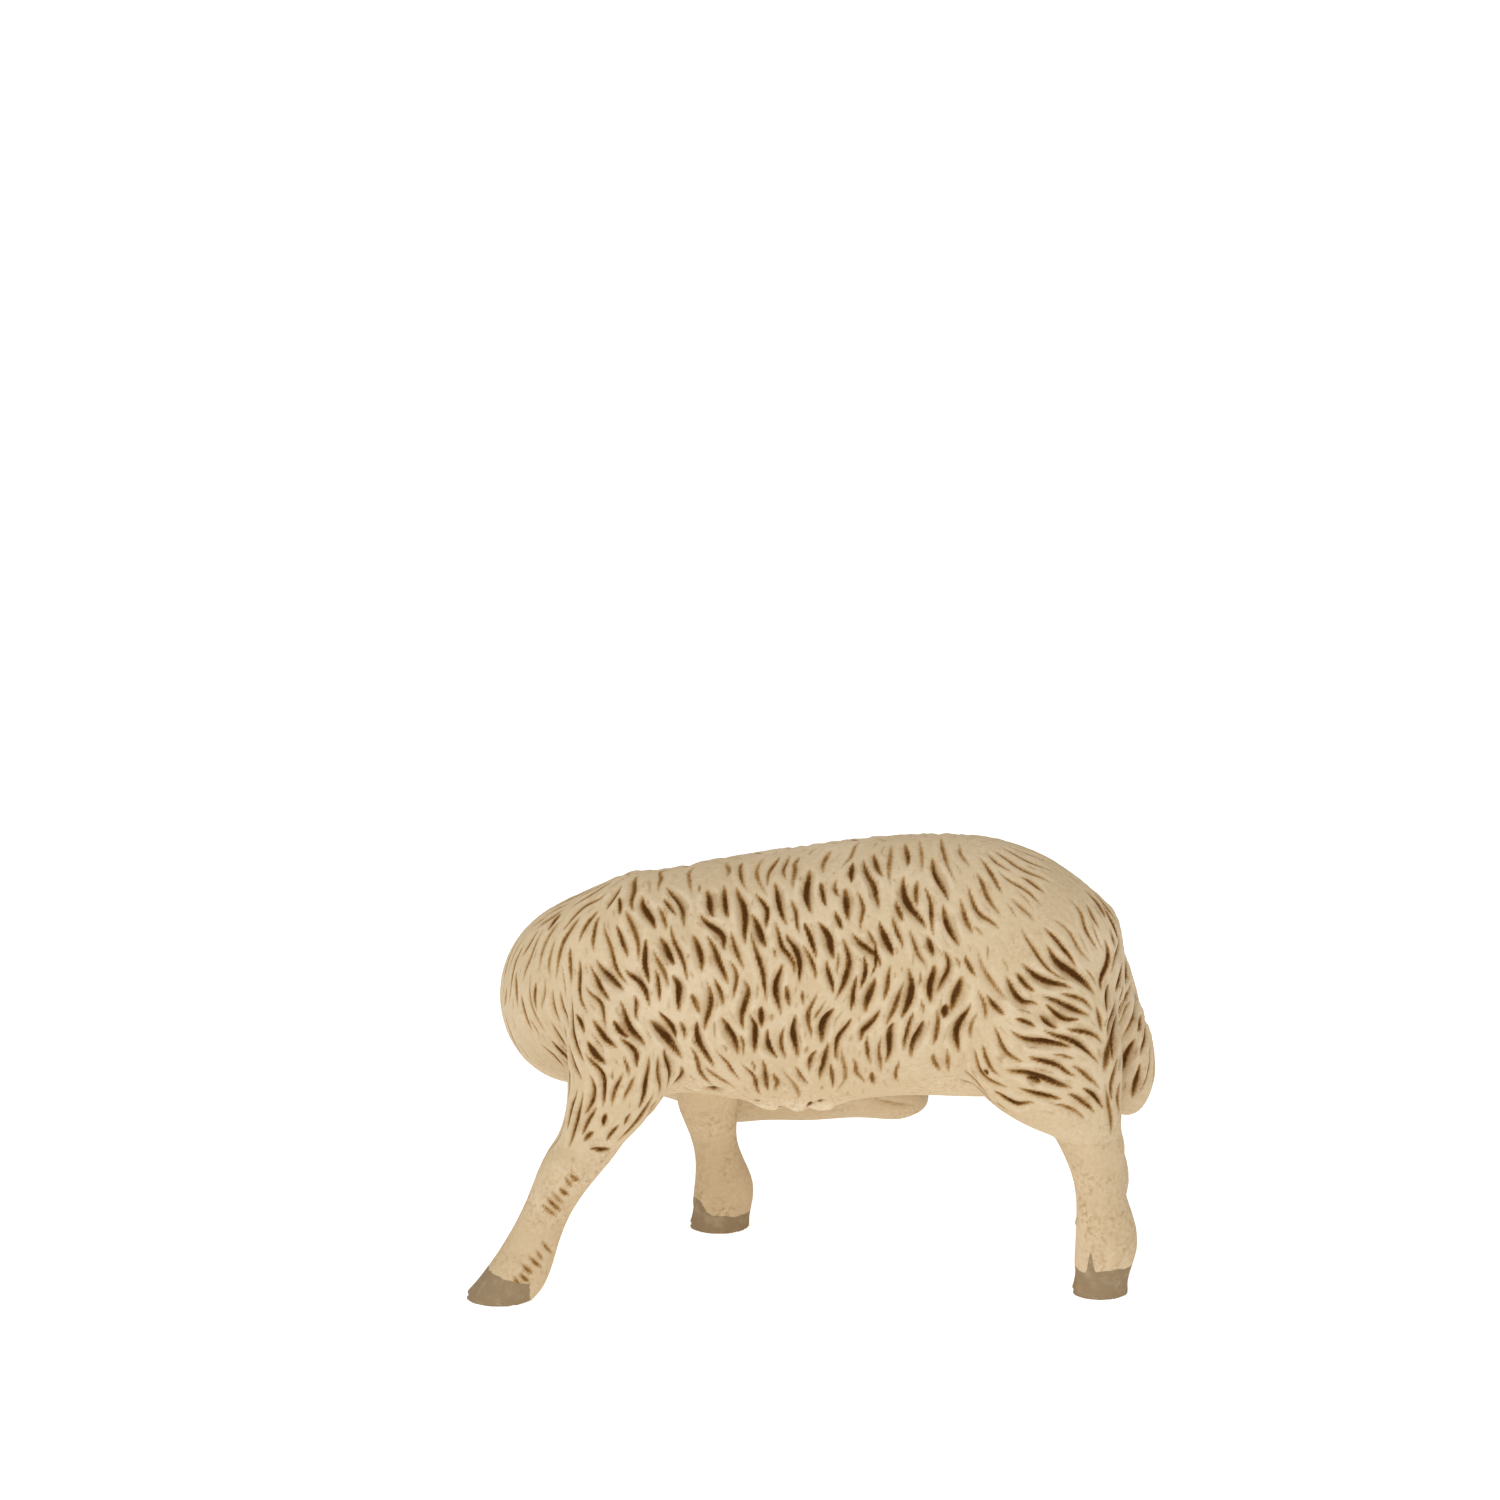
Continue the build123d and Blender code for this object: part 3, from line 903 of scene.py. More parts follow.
@dataclass
class Fleece:
    """The carved wool of the torso, the neck and the tail.

    Attributes:
        skin: surface to carve.
        owner: number of the casting that each vertex belongs to.
        names: the castings' names, in the order of those numbers.
        main_length: shortest and longest of the strokes that the solids have too, millimetres.
        main_width: their least and greatest half width.
        main_depth: their depth.
        main_clear: distance from earlier grooves at which they end.
        far_lean: lean of the wool on the neck's far half, degrees.
        far_strength: how deeply it is carved there.
        bow: usual bend of a groove's ends to one side, radians.
        wave: usual bend of its ends to opposite sides, radians.
        least_share: share of its kind's shortest length that a groove needs.
        random: the random numbers, the same in each run.
        main: vertex in the middle of each main stroke, and its lean in degrees.
        strength: how deeply the wool is carved at each vertex, from 0 to 1.
    """

    skin: Skin
    owner: np.ndarray
    names: list[str]
    main_length: tuple[float, float] = (4.6, 8.0)
    main_width: tuple[float, float] = (0.29, 0.41)
    main_depth: float = 0.48
    main_clear: float = 0.56
    far_lean: float = 4.0
    far_strength: float = 0.5
    bow: float = 0.16
    wave: float = 0.12
    least_share: float = 0.7
    random: np.random.Generator = field(default_factory=lambda: np.random.default_rng(SEED))
    main: list[tuple[int, float]] = field(init=False)
    strength: np.ndarray = field(init=False)

    def on(self, *names: str) -> np.ndarray:
        """Which vertices belong to some castings.

        Args:
            names: the castings.

        Returns:
            True for each vertex on one of them.
        """
        return np.isin(self.owner, [self.names.index(name) for name in names])

    def lay(self, carver: Carver, spine: float) -> None:
        """Lays the wool's direction and strength over the skin.

        Args:
            carver: gets the directions.
            spine: the body's middle plane across it, millimetres.
        """
        self.main = self._main_seeds(carver)
        place = self.skin.points[:, [0, 2]]
        total = np.zeros(len(place))
        lean = np.zeros(len(place))
        strength = np.zeros(len(place))
        spots = [(self.skin.points[seed], degrees) for seed, degrees in self.main]
        known = [FlowPoint(spot[0], spot[2], degrees, 1.0) for spot, degrees in spots if spot[1] < spine]
        for point in list(FLOW) + known:
            gap = ((place - (point.x, point.z)) ** 2).sum(axis=1)
            weight = 1.0 / (gap + 1.5) ** 2
            total += weight
            lean += weight * point.lean
            strength += weight * point.strength
        lean /= total
        strength /= total
        x, y, z = self.skin.points.T
        beyond = self.on("neck") * smoothstep(spine - 1.0, spine + 5.0, y)
        lean = lean * (1 - beyond) + beyond * self.far_lean
        strength = strength * (1 - beyond) + beyond * self.far_strength
        lean += sum(r.swing * np.sin(r.up * z + r.along * x + r.start) for r in RIPPLES)
        wool = self.on("torso", "neck", "tail").astype(float)
        strength *= smoothstep(0.35, 0.95, self.skin.spread(wool, 12))
        strength *= 1.0 - 0.7 * smoothstep(0.9, 0.97, carver.normal[:, 2])
        under = smoothstep(-0.45, -0.8, carver.normal[:, 2])
        strength *= Hems().wool(x, y - spine, z) * (1 - 0.75 * under)
        poll = self.on("head") * smoothstep(-2.5, -5.5, x) * smoothstep(15.0, 18.0, z)
        self.strength = np.maximum(strength, 0.6 * poll)
        carver.lean = np.radians(lean)

    def carve(self, carver: Carver) -> None:
        """Cuts the wool, from the broadest strokes to the finest.

        Args:
            carver: does the cutting.
        """
        for mark in DEEP_CUTS:
            self.mark(carver, mark)
        self._main_strokes(carver)
        for title, comb in COMBS.items():
            log.info("fleece: %d %s", self._fill(carver, comb), title)

    def _fill(self, carver: Carver, comb: Comb) -> int:
        """Cuts grooves of one kind wherever there is room.

        Args:
            carver: does the cutting.
            comb: the kind of groove.

        Returns:
            How many there are.
        """
        pick = self.random
        count = 0
        for seed in pick.permutation(np.nonzero(self.strength > comb.least)[0])[::2]:
            if not carver.free(self.skin.points[seed], comb.apart):
                continue
            power = self.strength[seed]
            length = pick.uniform(*comb.length)
            bow, wave = pick.normal(0, self.bow), pick.normal(0, self.wave)
            line = carver.trace(int(seed), length, bow, wave, clear=comb.clear)
            if len(line) * LINE_STEP < self.least_share * comb.length[0]:
                continue
            depth = pick.uniform(*comb.depth) * (0.2 + 0.8 * power)
            stain = pick.uniform(*comb.stain) * (0.35 + 0.65 * power)
            carver.groove(line, pick.uniform(*comb.width), depth, pick.uniform(0.75, 1.3), stain)
            count += 1
        return count

    @staticmethod
    def _main_seeds(carver: Carver) -> list[tuple[int, float]]:
        """Where the strokes that the solids have lie on the skin.

        Args:
            carver: finds the vertices.

        Returns:
            Vertex in the middle of each stroke, and its lean in degrees.
        """
        tree = surface("torso")
        found = []
        for stroke in WoolPlan().strokes():
            hit = tree.ray_cast(Vector(stroke.start + FAR_OUT * stroke.out), Vector(-stroke.out))[0]
            found.append((carver.nearest(hit), stroke.lean))
        return found

    def _main_strokes(self, carver: Carver) -> None:
        """Cuts the strokes that the solids have too; they fade out on top of the back.

        Args:
            carver: does the cutting.
        """
        pick = self.random
        for seed, _ in self.main:
            power = 1.0 - 0.75 * float(smoothstep(0.88, 0.97, carver.normal[seed, 2]))
            length = pick.uniform(*self.main_length)
            above = pick.uniform(0.22, 0.78)
            bow, wave = pick.normal(0, self.bow), pick.normal(0, self.wave)
            line = carver.trace(seed, length, bow, wave, clear=self.main_clear, above=above)
            depth = self.main_depth * pick.uniform(0.85, 1.1) * power
            stain = pick.uniform(0.8, 1.0) * (0.4 + 0.6 * power)
            carver.groove(line, pick.uniform(*self.main_width), depth, pick.uniform(0.85, 1.2), stain)
        log.info("fleece: %d main strokes", len(self.main))

    def mark(self, carver: Carver, mark: Mark) -> None:
        """Cuts one mark into the side that the photograph shows.

        Args:
            carver: does the cutting.
            mark: the cut.
        """
        x, y, z = self.skin.points.T
        away = np.where(carver.normal[:, 1] > 0.1, 9.0, 0.0)
        gap = np.hypot(x - mark.x, z - mark.z) + away + 0.02 * y
        seed = int(gap.argmin())
        turn = math.radians(mark.lean) - carver.lean[seed]
        line = carver.trace(seed, mark.length, 0.08, 0.12, turn)
        carver.groove(line, mark.width, mark.depth, 1.0, mark.stain)


@dataclass
class BellyLocks:
    """Rounded tufts along the lower edge of the belly.

    Attributes:
        first: place of the first tuft along the body, millimetres.
        pitch: distance between tufts.
        count: how many there are.
        height: how far they stand out.
        level: height of the row above the floor, millimetres.
        sway: how far it goes up and down.
        radius: least and greatest radius of a tuft.
        gap_width: half width of the grooves between tufts.
        gap_depth: depth of those grooves.
    """

    first: float = -9.6
    pitch: float = 2.7
    count: int = 5
    height: float = 0.9
    level: float = 18.0
    sway: float = 0.6
    radius: tuple[float, float] = (1.3, 1.8)
    gap_width: float = 0.32
    gap_depth: float = 0.3

    def carve(self, fleece: Fleece, carver: Carver) -> None:
        """Raises the tufts and cuts the gaps between them.

        Args:
            fleece: holds the skin and the random numbers.
            carver: does the carving.
        """
        pick = fleece.random
        torso = np.nonzero(fleece.on("torso") & (carver.normal[:, 1] < -0.2))[0]
        for number in range(self.count):
            x = self.first + self.pitch * number
            z = self.level + self.sway * math.sin(2.4 * number)
            place = self.skin_place(fleece, torso, x, z)
            carver.lump(place, pick.uniform(*self.radius), self.height * pick.uniform(0.7, 1.1))
            seed = carver.nearest(self.skin_place(fleece, torso, x + self.pitch / 2, z + 0.2))
            line = carver.trace(seed, pick.uniform(1.4, 2.2), 0.0, 0.2, -carver.lean[seed])
            carver.groove(line, self.gap_width, self.gap_depth, 1.0, pick.uniform(0.6, 1.0))
        log.info("belly: %d tufts", self.count)

    @staticmethod
    def skin_place(fleece: Fleece, among: np.ndarray, x: float, z: float) -> np.ndarray:
        """Place of the skin at a point of the side view.

        Args:
            fleece: holds the skin.
            among: vertices to choose from.
            x: place along the body, millimetres.
            z: height, millimetres.

        Returns:
            The nearest of those vertices' places.
        """
        points = fleece.skin.points[among]
        return points[np.hypot(points[:, 0] - x, points[:, 2] - z).argmin()]


@dataclass
class Face:
    """Mouth, chin, eyes and lids of the turned head.

    Attributes:
        tilt: how far the muzzle points down, degrees.
        eye_along: place of the eyes along the head, millimetres.
        eye_up: height of the eyes above the head's axis.
        eye_out: place of the eyes beside the axis.
        eye_half: half the length of the dark eye.
        lid_radius: radius of the lids' folds.
        line_width: half width of the mouth's and the lids' grooves.
        mouth: points along and above the axis, from the corner to the lips.
        mouth_out: place of those points beside the axis.
        chin: place along and above the axis where the chin falls back, and how far.
        chin_radius: radius of that place.
    """

    tilt: float = 8.0
    eye_along: float = 8.4
    eye_up: float = 2.3
    eye_out: float = 4.6
    eye_half: float = 1.0
    lid_radius: float = 1.45
    line_width: float = 0.24
    mouth: Pairs = ((14.0, -0.6), (16.2, -1.2), (18.4, -1.5), (20.6, -1.4))
    mouth_out: float = 4.0
    chin: tuple[float, float, float] = (21.6, -4.6, 0.8)
    chin_radius: float = 1.7

    def place(self, along: float, out: float, up: float) -> np.ndarray:
        """Point of the head.

        Args:
            along: distance from the seam behind the ears, millimetres.
            out: distance beside the axis.
            up: distance above the axis.

        Returns:
            Place in millimetres.
        """
        angle = math.radians(self.tilt)
        run = np.array([math.cos(angle), 0.0, -math.sin(angle)])
        rise = np.array([math.sin(angle), 0.0, math.cos(angle)])
        return middle("head_pin") + run * along + rise * up + np.array([0.0, out, 0.0])

    def carve(self, skin: Skin, carver: Carver) -> None:
        """Cuts the face's lines and sets the eyes.

        Args:
            skin: surface to carve.
            carver: does the carving.
        """
        steps = np.linspace(0.0, 1.0, 16)
        along, up = np.array(self.mouth).T
        known = np.linspace(0.0, 1.0, len(along))
        for side in (-1, 1):
            spots = [
                self.place(a, side * self.mouth_out, u)
                for a, u in zip(np.interp(steps, known, along), np.interp(steps, known, up))
            ]
            self._line(skin, carver, spots, self.line_width, 0.16, 0.3)
            out = side * self.eye_out
            ball = skin.points[carver.nearest(self.place(self.eye_along, out, self.eye_up))]
            carver.lump(ball, 0.75 * self.lid_radius, 0.3)
            spots = [
                self.place(self.eye_along + share * self.eye_half, out, self.eye_up)
                for share in (-1.0, -0.3, 0.3, 1.0)
            ]
            self._line(skin, carver, spots, 0.7, 0.0, 1.0)
            for low, high, depth in ((200.0, -20.0, 0.2), (215.0, 325.0, 0.14)):
                arc = np.radians(np.linspace(low, high, 14))
                spots = [
                    self.place(
                        self.eye_along + self.lid_radius * math.cos(a),
                        out,
                        self.eye_up + 0.8 * self.lid_radius * math.sin(a),
                    )
                    for a in arc
                ]
                self._line(skin, carver, spots, self.line_width, depth, 0.7)
        along, up, depth = self.chin
        carver.press(skin.points[carver.nearest(self.place(along, 0.0, up))], self.chin_radius, depth)
        log.info("face: mouth, chin, eyes and lids")

    @staticmethod
    def _line(skin: Skin, carver: Carver, spots: list, width: float, depth: float, stain: float) -> None:
        """Cuts a groove along the skin's nearest points.

        Args:
            skin: surface to carve.
            carver: does the carving.
            spots: places close to the skin.
            width: half width, millimetres.
            depth: millimetres.
            stain: how dark the wash in it is.
        """
        line = np.array([skin.points[carver.nearest(spot)] for spot in spots])
        line[1:-1] = (line[:-2] + line[1:-1] + line[2:]) / 3
        carver.groove(line, width, depth, 1.0, stain)


@dataclass
class LegMarks:
    """Nicks and tool marks of the bare legs.

    Attributes:
        count: nicks on each leg.
        lowest: height of the lowest nick, millimetres.
        hatches: groups of cuts on the left foreleg: first and last place, along the body and up, then the
            count and the length of one cut.
        hatch_lean: usual lean of those cuts, degrees.
        hatch_width: their half width.
        hatch_depth: their depth.
    """

    count: int = 36
    lowest: float = 2.5
    hatches: tuple[tuple, ...] = (
        ((-29.0, 2.3), (-26.3, 5.8), 6, 2.4),
        ((-25.9, 9.4), (-23.7, 13.2), 6, 2.0),
    )
    hatch_lean: float = 38.0
    hatch_width: float = 0.28
    hatch_depth: float = 0.16

    def carve(self, fleece: Fleece, carver: Carver) -> None:
        """Cuts the nicks and the hatching.

        Args:
            fleece: holds the skin and the random numbers.
            carver: does the carving.
        """
        pick = fleece.random
        for leg in (name for name, slot in CASTINGS.items() if slot is Slot.LEG):
            able = np.nonzero(fleece.on(leg) & (fleece.skin.points[:, 2] > self.lowest))[0]
            for seed in pick.choice(able, self.count):
                turn = pick.normal(0.0, 0.5) - carver.lean[seed]
                line = carver.trace(int(seed), pick.uniform(0.8, 2.2), 0.1, 0.1, turn)
                depth = pick.uniform(0.03, 0.1)
                carver.groove(line, pick.uniform(0.18, 0.28), depth, 1.0, pick.uniform(0.05, 0.28))
        for first, last, count, length in self.hatches:
            for share in np.linspace(0.0, 1.0, count):
                x, z = np.array(first) * (1 - share) + np.array(last) * share + pick.normal(0.0, 0.12, 2)
                size = length * pick.uniform(0.75, 1.25)
                lean = pick.normal(self.hatch_lean, 5.0)
                stain = pick.uniform(0.4, 0.7)
                fleece.mark(carver, Mark(x, z, lean, size, self.hatch_width, self.hatch_depth, stain))
        log.info("legs: %d nicks each, %d groups of hatching", self.count, len(self.hatches))


@dataclass(frozen=True)
class HoofLine:
    """Upper edge of a hoof's paint.

    Attributes:
        leg: the leg's CAD node.
        height: height of the edge above the floor at the middle, millimetres.
        middle: place along the body of that height, millimetres.
        slope: rise of the edge per millimetre towards the rump.
        heel: place along the body where the paint ends, millimetres.
        run: place along the body, height and half width of a run of paint above the edge.
    """

    leg: str
    height: float
    middle: float
    slope: float
    heel: float = math.inf
    run: tuple[float, float, float] = (0.0, 0.0, 1.0)


HOOF_LINES = (
    HoofLine("foreleg_left", 2.7, -30.0, -0.24, heel=-27.9),
    HoofLine("foreleg_right", 1.8, -9.0, 0.0, run=(-11.6, 1.6, 1.0)),
    HoofLine("hindleg_left", 3.0, 29.0, 0.05, run=(27.6, 2.0, 0.28)),
    HoofLine("hindleg_right", 2.9, 29.5, 0.0),
)


@dataclass(frozen=True)
class ResinFinish:
    """Painted cast resin: cream ground, brown wash and taupe hooves.

    Attributes:
        name: the material's name.
        ground: main colour.
        light: colour of the rubbed ridges and lumps, which is also their painted highlight.
        stain: colour of the thin wash.
        dark: colour of the wash in the deepest grooves.
        hoof: paint of the hooves.
        hoof_light: worn places of that paint.
        rough: roughness of the surface.
        speckle: how much brown is left in the pores.
        gloss: strength of the mirror-like reflection.
        grain: strength of the fine grain.
        grain_depth: depth of the fine grain, metres.
    """

    name: str
    ground: Colour = linear(209, 186, 149)
    light: Colour = linear(232, 213, 183)
    stain: Colour = linear(160, 120, 66)
    dark: Colour = linear(80, 46, 8)
    hoof: Colour = linear(150, 128, 98)
    hoof_light: Colour = linear(170, 150, 122)
    rough: float = 0.72
    speckle: float = 0.42
    gloss: float = 0.12
    grain: float = 0.4
    grain_depth: float = 0.0002

    def build(self) -> bpy.types.Material:
        """Makes the material.

        Returns:
            A material that reads the sculpted layers.
        """
        material = bpy.data.materials.new(self.name)
        material.use_nodes = True
        nodes = material.node_tree.nodes
        links = material.node_tree.links
        shader = nodes["Principled BSDF"]
        layers = {}
        for layer in Layer:
            node = nodes.new("ShaderNodeAttribute")
            node.attribute_name = layer.value
            layers[layer] = node.outputs["Fac"]
        ground = nodes.new("ShaderNodeGroup")
        ground.node_tree = Groups.ground()
        ground.inputs["Ground"].default_value = self.ground
        ground.inputs["Light"].default_value = self.light
        links.new(layers[Layer.RUB_AND_HIGHLIGHT], ground.inputs["Rubbed_and_highlit"])
        wash = nodes.new("ShaderNodeGroup")
        wash.node_tree = Groups.wash()
        wash.inputs["Stain"].default_value = self.stain
        wash.inputs["Dark"].default_value = self.dark
        wash.inputs["Speckle"].default_value = self.speckle
        links.new(ground.outputs["Color"], wash.inputs["Color"])
        links.new(layers[Layer.WASH_AND_SHADE], wash.inputs["Wash_and_shade"])
        links.new(layers[Layer.BARE], wash.inputs["Bare"])
        paint = nodes.new("ShaderNodeGroup")
        paint.node_tree = Groups.hoof()
        paint.inputs["Paint"].default_value = self.hoof
        paint.inputs["Worn"].default_value = self.hoof_light
        paint.inputs["Edge"].default_value = self.stain
        links.new(wash.outputs["Color"], paint.inputs["Color"])
        links.new(layers[Layer.HOOF], paint.inputs["Level"])
        links.new(paint.outputs["Color"], shader.inputs["Base Color"])
        shader.inputs["Roughness"].default_value = self.rough
        shader.inputs["Specular IOR Level"].default_value = self.gloss
        bump = nodes.new("ShaderNodeBump")
        bump.inputs["Strength"].default_value = self.grain
        bump.inputs["Distance"].default_value = self.grain_depth
        links.new(ground.outputs["Height"], bump.inputs["Height"])
        links.new(bump.outputs["Normal"], shader.inputs["Normal"])
        return material


class Groups:
    """Shader node groups that the finishes share."""

    @staticmethod
    def _new(name: str, inputs: dict[str, str], outputs: dict[str, str]) -> tuple:
        """Starts a node group.

        Args:
            name: the group's name.
            inputs: socket types by name.
            outputs: socket types by name.

        Returns:
            The group, its input node and its output node.
        """
        group = bpy.data.node_groups.new(name, "ShaderNodeTree")
        for label, kind in inputs.items():
            group.interface.new_socket(label, in_out="INPUT", socket_type=kind)
        for label, kind in outputs.items():
            group.interface.new_socket(label, in_out="OUTPUT", socket_type=kind)
        return group, group.nodes.new("NodeGroupInput"), group.nodes.new("NodeGroupOutput")

    @staticmethod
    def _noise(group: bpy.types.NodeTree, scale: float, detail: float, rough: float) -> bpy.types.NodeSocket:
        """Noise over the object's own coordinates.

        Args:
            group: tree that gets the node.
            scale: cells per metre.
            detail: octaves.
            rough: weight of the finer octaves.

        Returns:
            The noise's value.
        """
        place = group.nodes.new("ShaderNodeTexCoord")
        noise = group.nodes.new("ShaderNodeTexNoise")
        noise.inputs["Scale"].default_value = scale
        noise.inputs["Detail"].default_value = detail
        noise.inputs["Roughness"].default_value = rough
        group.links.new(place.outputs["Object"], noise.inputs["Vector"])
        return noise.outputs["Fac"]

    @staticmethod
    def _ramp(
        group: bpy.types.NodeTree, value: bpy.types.NodeSocket, low: float, high: float
    ) -> bpy.types.NodeSocket:
        """Smooth ramp from 0 to 1.

        Args:
            group: tree that gets the node.
            value: what is ramped.
            low: where the ramp starts.
            high: where the ramp ends.

        Returns:
            The ramp's height.
        """
        node = group.nodes.new("ShaderNodeMapRange")
        node.interpolation_type = "SMOOTHSTEP"
        node.inputs["From Min"].default_value = low
        node.inputs["From Max"].default_value = high
        group.links.new(value, node.inputs["Value"])
        return node.outputs["Result"]

    @staticmethod
    def _math(
        group: bpy.types.NodeTree, kind: str, *values: bpy.types.NodeSocket | float
    ) -> bpy.types.NodeSocket:
        """One step of arithmetic.

        Args:
            group: tree that gets the node.
            kind: the operation.
            values: sockets or numbers that it works on.

        Returns:
            The result.
        """
        node = group.nodes.new("ShaderNodeMath")
        node.operation = kind
        for socket, value in zip(node.inputs, values):
            if isinstance(value, (int, float)):
                socket.default_value = value
            else:
                group.links.new(value, socket)
        return node.outputs[0]

    @staticmethod
    def _mix(
        group: bpy.types.NodeTree,
        share: bpy.types.NodeSocket,
        first: bpy.types.NodeSocket,
        second: bpy.types.NodeSocket,
    ) -> bpy.types.NodeSocket:
        """Mix of two colours.

        Args:
            group: tree that gets the node.
            share: how much of the second colour there is.
            first: first colour.
            second: second colour.

        Returns:
            The mixed colour.
        """
        node = group.nodes.new("ShaderNodeMix")
        node.data_type = "RGBA"
        group.links.new(share, node.inputs["Factor"])
        group.links.new(first, node.inputs[6])
        group.links.new(second, node.inputs[7])
        return node.outputs[2]

    @classmethod
    def ground(cls) -> bpy.types.NodeTree:
        """Mottled cream of the bare casting, lighter where it is rubbed and where ridges and lumps carry a
        painted highlight, with its pores.

        Returns:
            The node group.
        """
        if "resin_ground" in bpy.data.node_groups:
            return bpy.data.node_groups["resin_ground"]
        group, inside, out = cls._new(
            "resin_ground",
            {"Ground": "NodeSocketColor", "Light": "NodeSocketColor", "Rubbed_and_highlit": "NodeSocketFloat"},
            {"Color": "NodeSocketColor", "Height": "NodeSocketFloat"},
        )
        broad = cls._ramp(group, cls._noise(group, 110.0, 3.0, 0.55), 0.35, 0.8)
        broad = cls._math(group, "MULTIPLY", broad, 0.55)
        # rubbed ridges and lumps: rubbed-off wash with a painted highlight
        rubbed = cls._math(group, "MULTIPLY", inside.outputs["Rubbed_and_highlit"], 0.75)
        share = cls._math(group, "MAXIMUM", broad, rubbed)
        fine = cls._noise(group, 2200.0, 3.0, 0.6)
        grain = cls._math(group, "MULTIPLY_ADD", cls._ramp(group, fine, 0.3, 0.7), 0.24, -0.12)
        share = cls._math(group, "ADD", share, grain)
        color = cls._mix(group, share, inside.outputs["Ground"], inside.outputs["Light"])
        group.links.new(color, out.inputs["Color"])
        group.links.new(fine, out.inputs["Height"])
        return group

    @classmethod
    def wash(cls) -> bpy.types.NodeTree:
        """Brown wash in the grooves, with painted shade in the haze round them and in the large concave
        places, and brown left in the pores of bare places.

        Returns:
            The node group.
        """
        if "antique_wash" in bpy.data.node_groups:
            return bpy.data.node_groups["antique_wash"]
        group, inside, out = cls._new(
            "antique_wash",
            {
                "Color": "NodeSocketColor",
                "Wash_and_shade": "NodeSocketFloat",
                "Bare": "NodeSocketFloat",
                "Stain": "NodeSocketColor",
                "Dark": "NodeSocketColor",
                "Speckle": "NodeSocketFloat",
            },
            {"Color": "NodeSocketColor"},
        )
        uneven = cls._noise(group, 900.0, 5.0, 0.75)
        broken = cls._math(group, "MULTIPLY_ADD", uneven, 1.0, 0.52)
        groove = cls._math(group, "MULTIPLY", inside.outputs["Wash_and_shade"], broken)
        grain = cls._math(group, "MULTIPLY_ADD", cls._noise(group, 4200.0, 2.0, 0.6), 0.9, 0.55)
        groove = cls._math(group, "MULTIPLY", groove, grain)
        haze = cls._ramp(group, cls._noise(group, 330.0, 4.0, 0.65), 0.48, 0.8)
        haze = cls._math(group, "MULTIPLY", haze, 0.2)
        groove = cls._math(group, "MAXIMUM", groove, haze)
        thin = cls._ramp(group, groove, 0.06, 0.5)
        deep = cls._ramp(group, groove, 0.34, 0.8)
        color = cls._mix(group, thin, inside.outputs["Color"], inside.outputs["Stain"])
        color = cls._mix(group, deep, color, inside.outputs["Dark"])
        dots = cls._ramp(group, cls._noise(group, 2100.0, 4.0, 0.7), 0.44, 0.7)
        clouds = cls._ramp(group, cls._noise(group, 210.0, 3.0, 0.6), 0.36, 0.66)
        specks = cls._math(group, "MULTIPLY", dots, clouds)
        specks = cls._math(group, "MULTIPLY", specks, inside.outputs["Speckle"])
        specks = cls._math(group, "MULTIPLY", specks, inside.outputs["Bare"])
        color = cls._mix(group, specks, color, inside.outputs["Stain"])
        group.links.new(color, out.inputs["Color"])
        return group

    @classmethod
    def hoof(cls) -> bpy.types.NodeTree:
        """Taupe paint of the hooves, with an uneven upper edge.

        Returns:
            The node group.
        """
        if "hoof_paint" in bpy.data.node_groups:
            return bpy.data.node_groups["hoof_paint"]
        group, inside, out = cls._new(
            "hoof_paint",
            {
                "Color": "NodeSocketColor",
                "Level": "NodeSocketFloat",
                "Paint": "NodeSocketColor",
                "Worn": "NodeSocketColor",
                "Edge": "NodeSocketColor",
            },
            {"Color": "NodeSocketColor"},
        )
        wave = cls._math(group, "MULTIPLY_ADD", cls._noise(group, 420.0, 3.0, 0.6), 1.3, -0.65)
        level = cls._math(group, "ADD", inside.outputs["Level"], wave)
        painted = cls._ramp(group, level, -0.05, 0.05)
        worn = cls._ramp(group, cls._noise(group, 800.0, 4.0, 0.65), 0.45, 0.75)
        paint = cls._mix(group, worn, inside.outputs["Paint"], inside.outputs["Worn"])
        grime = cls._ramp(group, cls._noise(group, 500.0, 4.0, 0.7), 0.55, 0.8)
        grime = cls._math(group, "MULTIPLY", grime, 0.5)
        paint = cls._mix(group, grime, paint, inside.outputs["Edge"])
        color = cls._mix(group, painted, inside.outputs["Color"], paint)
        group.links.new(color, out.inputs["Color"])
        return group


@dataclass(frozen=True)
class SteelFinish:
    """Plain drawn wire of the sealed pins.

    Attributes:
        name: the material's name.
        tint: colour of the metal.
        rough: roughness.
    """

    name: str = "pin_steel"
    tint: Colour = linear(190, 190, 192)
    rough: float = 0.38

    def build(self) -> bpy.types.Material:
        """Makes the material.

        Returns:
            A metal with faint drawing marks.
        """
        material = bpy.data.materials.new(self.name)
        material.use_nodes = True
        nodes = material.node_tree.nodes
        links = material.node_tree.links
        shader = nodes["Principled BSDF"]
        shader.inputs["Base Color"].default_value = self.tint
        shader.inputs["Metallic"].default_value = 1.0
        place = nodes.new("ShaderNodeTexCoord")
        noise = nodes.new("ShaderNodeTexNoise")
        noise.inputs["Scale"].default_value = 3000.0
        span = nodes.new("ShaderNodeMapRange")
        span.inputs["To Min"].default_value = self.rough - 0.08
        span.inputs["To Max"].default_value = self.rough + 0.08
        links.new(place.outputs["Object"], noise.inputs["Vector"])
        links.new(noise.outputs["Fac"], span.inputs["Value"])
        links.new(span.outputs["Result"], shader.inputs["Roughness"])
        return material


